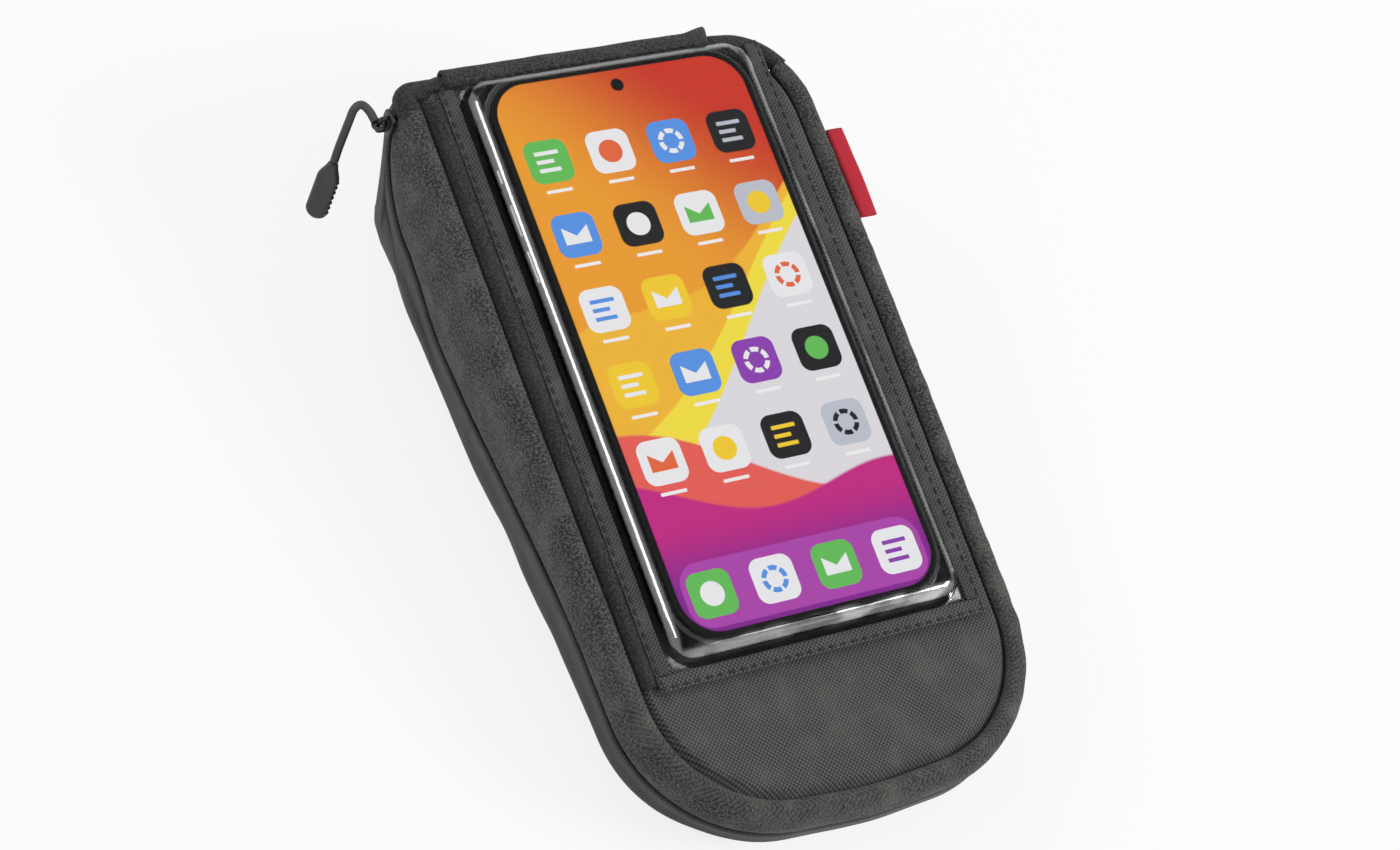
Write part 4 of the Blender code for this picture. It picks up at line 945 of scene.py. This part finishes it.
# %% Tree that repeats a shape along a line
def repeat_tree(name, ring):
    tree = bpy.data.node_groups.new(name, "GeometryNodeTree")
    for socket, kind in (("Geometry", "Geometry"), ("Pitch", "Float"), ("Width", "Float"),
                         ("Length", "Float"), ("Finish", "Material")):
        tree.interface.new_socket(socket, in_out="INPUT", socket_type="NodeSocket" + kind)
    tree.interface.new_socket("Geometry", in_out="OUTPUT", socket_type="NodeSocketGeometry")
    given = tree.nodes.new("NodeGroupInput").outputs
    line = add(tree, "GeometryNodeMeshToCurve", {"Mesh": given["Geometry"]}).outputs["Curve"]
    spacing = {"Curve": line, "Length": given["Pitch"]}
    points = add(tree, "GeometryNodeCurveToPoints", spacing, mode="LENGTH").outputs
    aim = add(tree, "FunctionNodeAlignRotationToVector", {"Vector": points["Tangent"]}, axis="Z")
    size = add(tree, "ShaderNodeCombineXYZ", {"X": given["Width"], "Y": given["Width"], "Z": given["Length"]})
    if ring:
        path = add(tree, "GeometryNodeCurvePrimitiveCircle", {"Resolution": 9, "Radius": 0.5})
        section = add(tree, "GeometryNodeCurvePrimitiveCircle", {"Resolution": 5, "Radius": 0.17})
        swept = {"Curve": path.outputs["Curve"], "Profile Curve": section.outputs["Curve"]}
        shape = add(tree, "GeometryNodeCurveToMesh", swept)
    else:
        shape = add(tree, "GeometryNodeMeshUVSphere", {"Segments": 8, "Rings": 6, "Radius": 0.5})
    place = add(tree, "GeometryNodeInstanceOnPoints", {
        "Points": points["Points"], "Instance": shape.outputs["Mesh"],
        "Rotation": aim.outputs["Rotation"], "Scale": size.outputs[0],
    })
    real = add(tree, "GeometryNodeRealizeInstances", {"Geometry": place.outputs["Instances"]})
    shade = add(tree, "GeometryNodeSetShadeSmooth", {"Geometry": real.outputs["Geometry"]})
    finished = {"Geometry": shade.outputs["Geometry"], "Material": given["Finish"]}
    finish = add(tree, "GeometryNodeSetMaterial", finished)
    add(tree, "NodeGroupOutput", {"Geometry": finish.outputs["Geometry"]})
    return tree


STITCH_TREE = repeat_tree("stitches_along_line", False)
COIL_TREE = repeat_tree("coil_along_line", True)


# %% Shapes along lines
def repeat(name, tree, lines, pitch, width, length, finish, body, replaces=()):
    vertices = []
    edges = []
    for line in lines:
        first = len(vertices)
        vertices += placed(line)
        edges += [(index, index + 1) for index in range(first, len(vertices) - 1)]
    mesh = bpy.data.meshes.new(name + "_line")
    mesh.from_pydata(vertices, edges, [])
    guide = add_object(name + "_line", mesh)
    modifier = guide.modifiers.new("Repeat", "NODES")
    modifier.node_group = tree
    values = {"Pitch": pitch * MM, "Width": width * MM, "Length": length * MM, "Finish": finish}
    for item in tree.interface.items_tree:
        if item.name in values:
            modifier[item.identifier] = values[item.name]
    made = as_mesh(guide)
    print(name + ":", len(made.polygons), "faces")
    return add_piece(name, made, finish, body, replaces)


# %% [markdown]
# ## Stitching
# A row of short stitches runs along the outer half of both side tapes, along the tape at the rider's end
# and along the binding at the pocket's mouth. A few more lock the seam at the left corner.

# %% Make the stitches
# The thread is black, and made darker still: painted shade for the holes that the stitches sink into.
THREAD_PAINTED_SHADE = cloth_finish("binding", (0.003, 0.003, 0.003), (0.008, 0.008, 0.008), RIB, 0.4, 0.03, 0.7, 0.0)
STITCH_Z = -3.88
STITCH_PITCH = 3.1
STITCH_WIDTH = 0.8
STITCH_LENGTH = 1.9
side_ys = np.linspace(-83.5, 79.0, 60)
stitch_lines = [[(side_x, y, STITCH_Z) for y in side_ys] for side_x in (-45.75, 45.75)]
stitch_lines += [
    [(x, -85.0, STITCH_Z) for x in np.linspace(-45.6, 45.6, 40)],
    [(x, 81.0, -3.5) for x in np.linspace(-43.0, 31.0, 40)],
    [(x, -86.4, STITCH_Z - 0.2) for x in (-46.2, -45.4, -44.6, -43.8)],
]
repeat("tape_stitches", STITCH_TREE, stitch_lines, STITCH_PITCH, STITCH_WIDTH, STITCH_LENGTH, THREAD_PAINTED_SHADE, "lid")

# %% [markdown]
# ## Zip
# Each tape has a coil behind its edge. The coil is a row of small rings, tilted by nothing but the line
# itself, and the tape is a plain strip that narrows round the arc.

# %% Make the zip
TAPE_INSET = 1.35
COIL_INSET = 2.7
RING_PITCH = 1.15
RING_WIDTH = 1.2
RING_LENGTH = 1.6


def zip_line(side, reach, inset, first_angle):
    line_radius = ZIP_ARC_RADIUS - side * COIL_GAP
    radius = ZIP_ARC_RADIUS - side * reach
    points = []
    for distance in zip_run(line_radius, first_angle, 2.5):
        past = past_middle(distance)
        place = float(distance)
        z = zip_z(place, side * reach)
        if past > 0.0:
            angle = math.acos(min(past / line_radius, 1.0))
            center = LEFT_ARC if distance < LEFT_ARC else RIGHT_ARC
            place = center + math.copysign(radius * math.cos(angle), distance - center)
            z = ZIP_TOP - radius * math.sin(angle)
        points.append((*(WALL.at(place) - WALL.outward(place) * inset), z))
    return points


for side, name, tape_width, first_angle, body in ((1, "upper", 3.4, BAND_END_ANGLE, "lid"),
                                                  (-1, "lower", 1.6, 7.0, "bag")):
    tape_rows = [zip_line(side, reach, TAPE_INSET, first_angle)
                 for reach in np.linspace(COIL_GAP, COIL_GAP + tape_width, 4)]
    cloth(name + "_tape_cloth", tape_rows, 0.45, ZIP_TAPE, body, replaces=(name + "_zip_tape",))
    coil = zip_line(side, COIL_GAP + 0.8, COIL_INSET, first_angle)
    repeat(name + "_coil_rings", COIL_TREE, [coil], RING_PITCH, RING_WIDTH, RING_LENGTH, ZIP_PLASTIC, body,
           (name + "_zip_coil",))

# %% [markdown]
# ## Label
# The label is a satin ribbon folded once, with its two ends caught in the seam. It is left plain.

# %% Make the label
LABEL_SECTION = (
    (57.6, -6.62), (59.2, -6.5), (60.8, -6.45), (62.0, -6.5), (62.55, -6.68), (62.7, -6.9), (62.55, -7.12),
    (62.0, -7.3), (60.8, -7.35), (59.2, -7.3), (57.6, -7.18),
)
LABEL_START = 26.0
LABEL_END = 52.0


def label_point(x, y, z):
    sway = 0.35 * math.sin((y - LABEL_START) / (LABEL_END - LABEL_START) * 3.4) * (x - 57.6) / 5.1
    return x + 0.12 * ripple(y, z, 8.0, 89.0), y, z + sway


label_rows = [[label_point(x, y, z) for y in np.linspace(LABEL_START, LABEL_END, 28)]
              for x, z in LABEL_SECTION]
cloth("label_ribbon", label_rows, 0.22, LABEL, "lid", replaces=("side_label",))

# %% [markdown]
# ## Slider
# The slider is a small casting: a shield-shaped plate outside the tapes, a narrow blade between the coils
# and a plate behind them. It is drawn in its own frame, with its length along the zip.

# %% Make the slider
SLIDER_OUT = Vector((-1.0, 0.0, 0.0))
SLIDER_ALONG = Vector((0.0, -math.sin(SLIDER_ANGLE), -math.cos(SLIDER_ANGLE)))
SLIDER_ACROSS = SLIDER_OUT.cross(SLIDER_ALONG)
SHIELD = ((-3.5, -1.7), (-2.9, -2.4), (-1.0, -2.7), (1.2, -2.6), (3.0, -2.1), (3.5, -1.2),
          (3.5, 1.2), (3.0, 2.1), (1.2, 2.6), (-1.0, 2.7), (-2.9, 2.4), (-3.5, 1.7))
BOSS = [(along * 0.6, across * 0.5) for along, across in SHIELD]
BLADE = ((-3.3, -0.22), (3.3, -0.22), (3.3, 0.22), (-3.3, 0.22))


def beside_slider(out, along, across=0.0):
    """A place by its distance out from the bag's middle, and along and across the zip."""
    return Vector((-out, SLIDER_SPOT.y, SLIDER_SPOT.z)) + SLIDER_ALONG * along + SLIDER_ACROSS * across


def slab(made, outline, low, high):
    """A flat piece of the slider between two distances out from the bag's middle."""
    rings = [[made.verts.new(LID @ beside_slider(out, *spot)) for spot in outline] for out in (low, high)]
    made.faces.new(rings[0])
    made.faces.new(rings[1])
    for index in range(len(outline)):
        beside = (index + 1) % len(outline)
        made.faces.new((rings[0][index], rings[0][beside], rings[1][beside], rings[1][index]))


def from_parts(name, made, bevel, finish, body, replaces=()):
    bmesh.ops.recalc_face_normals(made, faces=made.faces)
    mesh = bpy.data.meshes.new(name)
    made.to_mesh(mesh)
    made.free()
    mesh.shade_smooth()
    round_edges(add_piece(name, mesh, finish, body, replaces), bevel, 40)


casting = bmesh.new()
for outline, low, high in ((SHIELD, 58.6, 59.6), (BOSS, 59.45, 60.0), (BLADE, 52.6, 58.7),
                           (SHIELD, 51.7, 52.7)):
    slab(casting, outline, low, high)
from_parts("slider_casting", casting, 0.22, SLIDER_METAL, "slider", ("slider_body",))

# %% [markdown]
# ## Wire and cord
# A curve with a round section makes both the slider's bail and the stiff cord of the pull. The curve is
# turned into a mesh, because its caps then close and its place can be in its points.


# %% Tube along points
def smooth_route(points, steps):
    points = [Vector(point) for point in points]
    ends = [2 * points[0] - points[1]] + points + [2 * points[-1] - points[-2]]
    route = []
    for before, start, finish, after in zip(ends, ends[1:], ends[2:], ends[3:]):
        bend = 2 * before - 5 * start + 4 * finish - after
        swing = 3 * start - before - 3 * finish + after
        for share in [step / steps for step in range(steps)]:
            route.append((2 * start + (finish - before) * share + bend * share ** 2 + swing * share ** 3) / 2)
    return route + [points[-1]]


def tube(name, points, radius, finish, body, replaces=(), ring=False):
    curve = bpy.data.curves.new(name, "CURVE")
    curve.dimensions = "3D"
    curve.bevel_depth = radius * MM
    curve.bevel_resolution = 4
    curve.use_fill_caps = True
    spline = curve.splines.new("POLY")
    spline.points.add(len(points) - 1)
    spline.use_cyclic_u = ring
    for spot, place in zip(spline.points, placed(points)):
        spot.co = (*place, 1.0)
    mesh = as_mesh(add_object(name + "_curve", curve))
    clean(mesh, drop_empty=False)
    add_piece(name, mesh, finish, body, replaces)


# %% Make the bail and the pull's cord
BAIL_SECTION = ((59.8, 2.2), (61.1, 2.2), (61.65, 2.0), (61.85, 1.5))
STEM_ROUTE = (
    (-1.05, 0.84, 1.02), (-1.95, 3.34, 1.82), (-3.55, 5.14, 2.32), (-5.35, 4.84, 1.22),
    (-6.75, 2.84, -1.48), (-7.75, 1.04, -5.28), (-8.55, -0.56, -9.08), (-9.15, -2.06, -12.48),
)
EYE_RADIUS = 1.32
EYE_STEPS = 28
bail_points = [beside_slider(out, -along) for out, along in BAIL_SECTION]
bail_points += [beside_slider(out, along) for out, along in reversed(BAIL_SECTION)]
tube("bail_wire", smooth_route(bail_points, 4), 0.62, SLIDER_METAL, "slider", ("slider_bail",))
stem_route = smooth_route([BAIL_SPOT + Vector(offset) for offset in STEM_ROUTE], 8)
tube("stem_cord", stem_route, 1.1, PULL_RUBBER, "pull", ("pull_stem",))
eye_side = SLIDER_ALONG.cross(SLIDER_OUT)
eye_turns = [2 * math.pi * step / EYE_STEPS for step in range(EYE_STEPS)]
eye_ring = [BAIL_SPOT + (SLIDER_OUT * math.cos(turn) + eye_side * math.sin(turn)) * EYE_RADIUS
            for turn in eye_turns]
tube("stem_eye", eye_ring, 0.6, PULL_RUBBER, "pull", ring=True)

# %% [markdown]
# ## Grip
# The grip is moulded: oval in section, flatter on its face, waisted where the cord goes in and ribbed down
# one edge for the fingers. Rings of points along its length follow these rules.

# %% Make the grip
GRIP_TIP = Vector((-12.15, -8.96, -30.78))
GRIP_FACE = Vector((-0.468, -0.309, 0.828))
GRIP_LENGTH = 18.4
GRIP_RIBS = 11
grip_along = (BAIL_SPOT + GRIP_TIP - stem_route[-1]).normalized()
grip_across = GRIP_FACE.cross(grip_along).normalized()
grip_up = grip_along.cross(grip_across)
grip_start = stem_route[-1] + grip_along * 0.3


def grip_point(share, angle):
    swell = 0.44 + 0.56 * float(eased(share / 0.3))
    tip = math.sqrt(max(1.0 - max(0.0, (share - 0.84) / 0.16) ** 2, 0.0))
    neck = min(1.0, 0.25 + share / 0.03)
    across = math.cos(angle) * 3.0 * swell * tip * neck
    up = min(math.sin(angle) * 1.7 * (0.6 + 0.4 * swell) * tip * neck, 1.15)
    ridge = 0.22 * max(0.0, math.cos(angle)) ** 3 * math.sin(share * 2 * math.pi * GRIP_RIBS)
    ridge *= 0.3 < share < 0.86
    place = grip_start + grip_along * (share * GRIP_LENGTH)
    return (place + grip_across * (across + ridge) + grip_up * up)[:]


grip_turns = np.linspace(0.0, 2 * math.pi, 32, endpoint=False)
grip_rows = [[(grip_start + grip_along * 0.01)[:]] * len(grip_turns)]
grip_rows += [[grip_point(share, angle) for angle in grip_turns] for share in np.linspace(0.0, 1.0, 64)]
cloth("grip_moulding", grip_rows, 0.0, PULL_RUBBER, "pull", closed=True, replaces=("pull_grip",))

# %% [markdown]
# ## Flat soft pieces inside
# The foam, the pocket's back, the hook and loop strips, the hinge tape and the base cloth are flat cuts.
# Each takes its solid's shape, welded, with its edges rounded, and a map laid flat on it so that its cloth
# shows.

# %% Soft copies of flat solids
TO_LID = LID.inverted()


def flat_place(normal, place):
    if abs(normal.z) > 0.6:
        return place.x, place.y
    return (place.y if abs(normal.x) > abs(normal.y) else place.x), place.z


def soft_copy(name, node, finish, body, edge):
    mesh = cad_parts[node].data.copy()
    made = bmesh.new()
    made.from_mesh(mesh)
    bmesh.ops.remove_doubles(made, verts=made.verts, dist=SMALLEST)
    bmesh.ops.dissolve_limit(made, angle_limit=0.01, verts=made.verts, edges=made.edges)
    bmesh.ops.recalc_face_normals(made, faces=made.faces)
    layer = made.loops.layers.uv.new("cloth")
    for face in made.faces:
        for loop in face.loops:
            loop[layer].uv = flat_place(face.normal, TO_LID @ loop.vert.co)
    made.to_mesh(mesh)
    made.free()
    mesh.name = name
    piece = add_piece(name, mesh, finish, body, (node,))
    round_edges(piece, edge, 50)
    return piece


for name, node, finish, body, edge, soft in (
    ("foam_border", "pocket_foam", FOAM, "lid", 0.4, True),
    ("pocket_lining", "pocket_back", FOAM, "lid", 0.5, True),
    ("hook_tape", "hook_strip", FOAM, "lid", 0.12, False),
    ("loop_tape", "loop_strip", FOAM, "lid", 0.12, False),
    ("fold_tape", "hinge_tape", BINDING, "bag", 0.25, False),
    ("base_cloth", "base_panel", TRAY, "bag", 0.5, False),
):
    flat_piece = soft_copy(name, node, finish, body, edge)

# %% [markdown]
# ## Phone
# The phone is a sealed block: a polished frame with three keys on its left side and a lit display. The
# display shows plain waves of colour, computed from the place on the glass in millimetres, and a grid of
# plain tiles. Each band covers what lies above its wavy edge, which is given by a height, a slope, a swing,
# its length and its shift.

# %% Display finish
BANDS = (
    (18.0, -0.5, 7.0, 16.0, 1.1, (0.93, 0.50, 0.04)), (2.0, -0.75, 6.0, 19.0, 2.3, (0.95, 0.78, 0.06)),
    (-9.0, -0.85, 6.0, 18.0, 2.6, (0.78, 0.76, 0.80)), (-36.0, 0.25, 6.0, 15.0, 0.3, (0.84, 0.12, 0.10)),
    (-43.0, 0.10, 5.0, 13.0, 1.9, None),
)
DISPLAY_HALF = (35.7, 75.8)
DISPLAY_CORNER = 10.0
EYE_Y = 71.5
BLACK = (0.002, 0.002, 0.002)


def lit_area(tree, x, y):
    """1 inside the display's rounded edge, and 0 outside it and in the camera's hole."""
    reaches = [calc(tree, "SUBTRACT", calc(tree, "ABSOLUTE", place), half - DISPLAY_CORNER)
               for place, half in zip((x, y), DISPLAY_HALF)]
    past_x, past_y = [calc(tree, "MAXIMUM", reach, 0.0) for reach in reaches]
    past = calc(tree, "ADD", product(tree, past_x, past_x), product(tree, past_y, past_y))
    edge = calc(tree, "SUBTRACT", calc(tree, "SQRT", past), DISPLAY_CORNER)
    eye_y = calc(tree, "SUBTRACT", y, EYE_Y)
    eye = calc(tree, "SQRT", calc(tree, "ADD", product(tree, x, x), product(tree, eye_y, eye_y)))
    return product(tree, smooth(tree, edge, 0.08, -0.08), smooth(tree, eye, 1.7, 1.9))


def make_display_finish():
    finish, tree, surface = new_finish("phone_glass")
    place = add(tree, "ShaderNodeTexCoord").outputs["Object"]
    in_lid = {"Vector": place, "Location": LID_ORIGIN, "Rotation": (WEDGE, 0.0, 0.0), "Scale": (MM, MM, MM)}
    x, y = split_xyz(tree, add(tree, "ShaderNodeMapping", in_lid, vector_type="TEXTURE").outputs[0])[:2]

    def above(height, slope, swing, length, shift):
        line = calc(tree, "MULTIPLY_ADD", x, slope, y)
        wave = calc(tree, "SINE", calc(tree, "MULTIPLY_ADD", x, 1.0 / length, shift))
        return calc(tree, "SUBTRACT", calc(tree, "MULTIPLY_ADD", wave, swing, line), height)

    shade = blend_colors(tree, smooth(tree, above(20.0, 0.9, 4.0, 20.0, 0.4), 0.0, 70.0),
                         (0.90, 0.36, 0.03), (0.62, 0.04, 0.02))
    rose = blend_colors(tree, smooth(tree, y, -46.0, -66.0), (0.58, 0.02, 0.24), (0.24, 0.02, 0.30))
    for *line, color in BANDS:
        shade = blend_colors(tree, smooth(tree, above(*line), 0.5, -0.5), shade, color or rose)
    fill(tree, surface, {
        "Emission Color": blend_colors(tree, lit_area(tree, x, y), BLACK, shade), "Emission Strength": 0.88,
        "Base Color": (*BLACK, 1.0), "Specular IOR Level": 0.04, "Roughness": 0.12,
    })
    return finish


refinish(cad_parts["phone_display"].data, make_display_finish())

# %% [markdown]
# ## Tiles on the display
# The tiles are paper-thin rounded squares, each with one plain mark on it. Their colours come from a short
# list and are kept in the mesh, so one finish serves them all.

# %% What the tiles show
TILE = 12.0
TILE_CORNER = 3.0
TILE_COLORS = {
    "leaf": (0.13, 0.52, 0.10), "paper": (0.86, 0.86, 0.88), "sky": (0.10, 0.30, 0.80),
    "ink": (0.012, 0.012, 0.014), "plum": (0.27, 0.05, 0.45), "sun": (0.93, 0.62, 0.03),
    "clay": (0.80, 0.14, 0.05), "mist": (0.52, 0.55, 0.62),
}
TILE_PLAN = (
    ("leaf", "paper", "bars"), ("paper", "clay", "disc"), ("sky", "paper", "ring"), ("ink", "mist", "bars"),
    ("sky", "paper", "fold"), ("ink", "paper", "disc"), ("paper", "leaf", "fold"), ("mist", "sun", "disc"),
    ("paper", "sky", "bars"), ("sun", "paper", "fold"), ("ink", "sky", "bars"), ("paper", "clay", "ring"),
    ("sun", "paper", "bars"), ("sky", "paper", "fold"), ("plum", "paper", "ring"), ("ink", "leaf", "disc"),
    ("paper", "clay", "fold"), ("paper", "sun", "disc"), ("ink", "sun", "bars"), ("mist", "ink", "ring"),
)
DOCK_PLAN = (
    ("leaf", "paper", "disc"), ("paper", "sky", "ring"), ("leaf", "paper", "fold"), ("paper", "plum", "bars"),
)
DOCK_Y = -66.0
ROUND_STEPS = 24


def round_points(radius, steps):
    turns = [2 * math.pi * step / ROUND_STEPS for step in steps]
    return [(radius * math.cos(turn), radius * math.sin(turn)) for turn in turns]


def bar(left, right, middle, half):
    return [(left, middle - half), (right, middle - half), (right, middle + half), (left, middle + half)]


MARKS = {
    "disc": [round_points(TILE * 0.27, range(ROUND_STEPS))],
    "fold": [[(TILE * x, TILE * y)
              for x, y in ((-0.3, -0.2), (0.3, -0.2), (0.3, 0.2), (0.0, -0.02), (-0.3, 0.2))]],
    "bars": [bar(-TILE * 0.28, TILE * right, TILE * level, TILE * 0.045)
             for level, right in ((0.2, 0.28), (0.0, 0.12), (-0.2, 0.22))],
    "ring": [round_points(TILE * 0.3, range(first, first + 4)) +
             round_points(TILE * 0.19, reversed(range(first, first + 4)))
             for first in range(0, ROUND_STEPS, 4)],
}

# %% Make the tiles
tiles = bmesh.new()
tile_color = tiles.loops.layers.float_color.new("tile_color")


def flat_shape(points, spot, z, color):
    face = tiles.faces.new([tiles.verts.new(place) for place in placed((spot[0] + x, spot[1] + y, z)
                                                                       for x, y in points)])
    for loop in face.loops:
        loop[tile_color] = (*color, 1.0)


columns_x = [-26.4 + 17.6 * column for column in range(4)]
spots = [(x, 53.5 - 21.0 * row) for row in range(5) for x in columns_x] + [(x, DOCK_Y) for x in columns_x]
tile_square = box_outline(TILE / 2, -TILE / 2, TILE / 2, TILE_CORNER).points
flat_shape(box_outline(34.0, -8.6, 8.6, 6.0).points, (0.0, DOCK_Y), 0.04, (0.42, 0.06, 0.42))
for (x, y), (ground, mark, kind) in zip(spots, TILE_PLAN + DOCK_PLAN):
    flat_shape(tile_square, (x, y), 0.08, TILE_COLORS[ground])
    for part in MARKS[kind]:
        flat_shape(part, (x, y), 0.12, TILE_COLORS[mark])
    if y > DOCK_Y:
        flat_shape(bar(-3.6, 3.6, 0.0, 0.45), (x, y - TILE / 2 - 2.4), 0.08, (0.9, 0.88, 0.88))
for face in tiles.faces:
    face.normal_update()
    if face.normal.z < 0:
        face.normal_flip()
tile_mesh = bpy.data.meshes.new("display_tiles")
tiles.to_mesh(tile_mesh)
tiles.free()
tile_finish, ink_tree, ink_surface = new_finish("tile_ink")
ink_color = add(ink_tree, "ShaderNodeVertexColor", layer_name="tile_color").outputs["Color"]
fill(ink_tree, ink_surface, {
    "Emission Color": ink_color, "Emission Strength": 0.9, "Specular IOR Level": 0.04,
    "Base Color": (0.004, 0.004, 0.004, 1.0), "Roughness": 0.15,
})
thicken(add_piece("display_tiles", tile_mesh, tile_finish, "lid"), 0.03, -1.0)
print("tiles:", len(spots))

# %% [markdown]
# ## Keys of the phone
# Two long keys and a short one stand a little out of the frame's left side. Their metal is much paler than
# the frame's: a painted highlight for the glint along their edges.

# %% Make the keys
keys = bmesh.new()
for low, high in ((36.0, 45.0), (23.0, 32.0), (51.0, 55.0)):
    middle = Matrix.Translation((-39.0, (low + high) / 2, -4.2))
    key_box = middle @ Matrix.Diagonal((0.9, high - low, 2.2, 1.0))
    bmesh.ops.create_cube(keys, size=1.0, matrix=LID @ key_box)
# painted highlight: the keys' metal is pale so that they glint
KEY_PAINTED_HIGHLIGHT_METAL = hard_finish("phone_metal", (0.42, 0.41, 0.35), 0.32, 1.0, 3000.0, 0.002, 1.2)
from_parts("phone_keys", keys, 0.35, KEY_PAINTED_HIGHLIGHT_METAL, "lid")

# %% [markdown]
# ## Floor and light
# The floor and the sky look white to the camera and in reflections, and light the bag less than they look.
# A large light stands at the right of the rider's end, a weaker one behind the far end, and a narrow one on
# the left draws the long bright line along the film's edge, together with the film's painted highlight band.

# %% Floor, lamps and world
WHITE = (1.0, 1.0, 1.0, 1.0)
AMBIENT = 0.44
FLOOR_Z = -0.0005


def looked_at(tree):
    """1 for rays from the camera, off a glossy surface or through a clear one."""
    seen = add(tree, "ShaderNodeLightPath").outputs
    return calc(tree, "MAXIMUM", seen["Is Camera Ray"],
                calc(tree, "MAXIMUM", seen["Is Glossy Ray"], seen["Is Transmission Ray"]))


floor_mesh = bpy.data.meshes.new("floor")
floor_corners = [(x, y, FLOOR_Z) for x, y in ((-4, -4), (4, -4), (4, 4), (-4, 4))]
floor_mesh.from_pydata(floor_corners, [], [(0, 1, 2, 3)])
floor = add_object("floor", floor_mesh)
floor_finish, floor_tree, floor_surface = new_finish("floor")
fill(floor_tree, floor_surface, {"Base Color": (0.86, 0.86, 0.86, 1.0), "Roughness": 0.9})
white = add(floor_tree, "ShaderNodeEmission", {"Color": WHITE})
mixed = add(floor_tree, "ShaderNodeMixShader", {
    0: product(floor_tree, looked_at(floor_tree), 0.82), 1: floor_surface.outputs[0], 2: white.outputs[0],
})
fill(floor_tree, floor_tree.nodes["Material Output"], {"Surface": mixed.outputs[0]})
floor.data.materials.append(floor_finish)

world = bpy.data.worlds.new("studio")
bpy.context.scene.world = world
world.use_nodes = True
sky_tree = world.node_tree
sky_strength = calc(sky_tree, "MULTIPLY_ADD", looked_at(sky_tree), 1.0 - AMBIENT, AMBIENT)
fill(sky_tree, sky_tree.nodes["Background"], {"Color": WHITE, "Strength": sky_strength})

for name, spot, width, height, power in (
    ("key_light", (1.05, -0.75, 0.95), 0.7, 0.7, 15.0), ("top_light", (-0.15, 1.25, 0.95), 0.9, 0.5, 4.0),
    ("strip_light", (-0.95, 0.30, 0.75), 1.0, 0.14, 3.8),
):
    light = bpy.data.lights.new(name, "AREA")
    light.shape = "RECTANGLE"
    light.size = width
    light.size_y = height
    light.energy = power
    lamp = add_object(name, light)
    lamp.location = spot
    lamp.rotation_euler = (-Vector(spot)).to_track_quat("-Z", "Y").to_euler()
bpy.context.scene.view_settings.view_transform = "Standard"
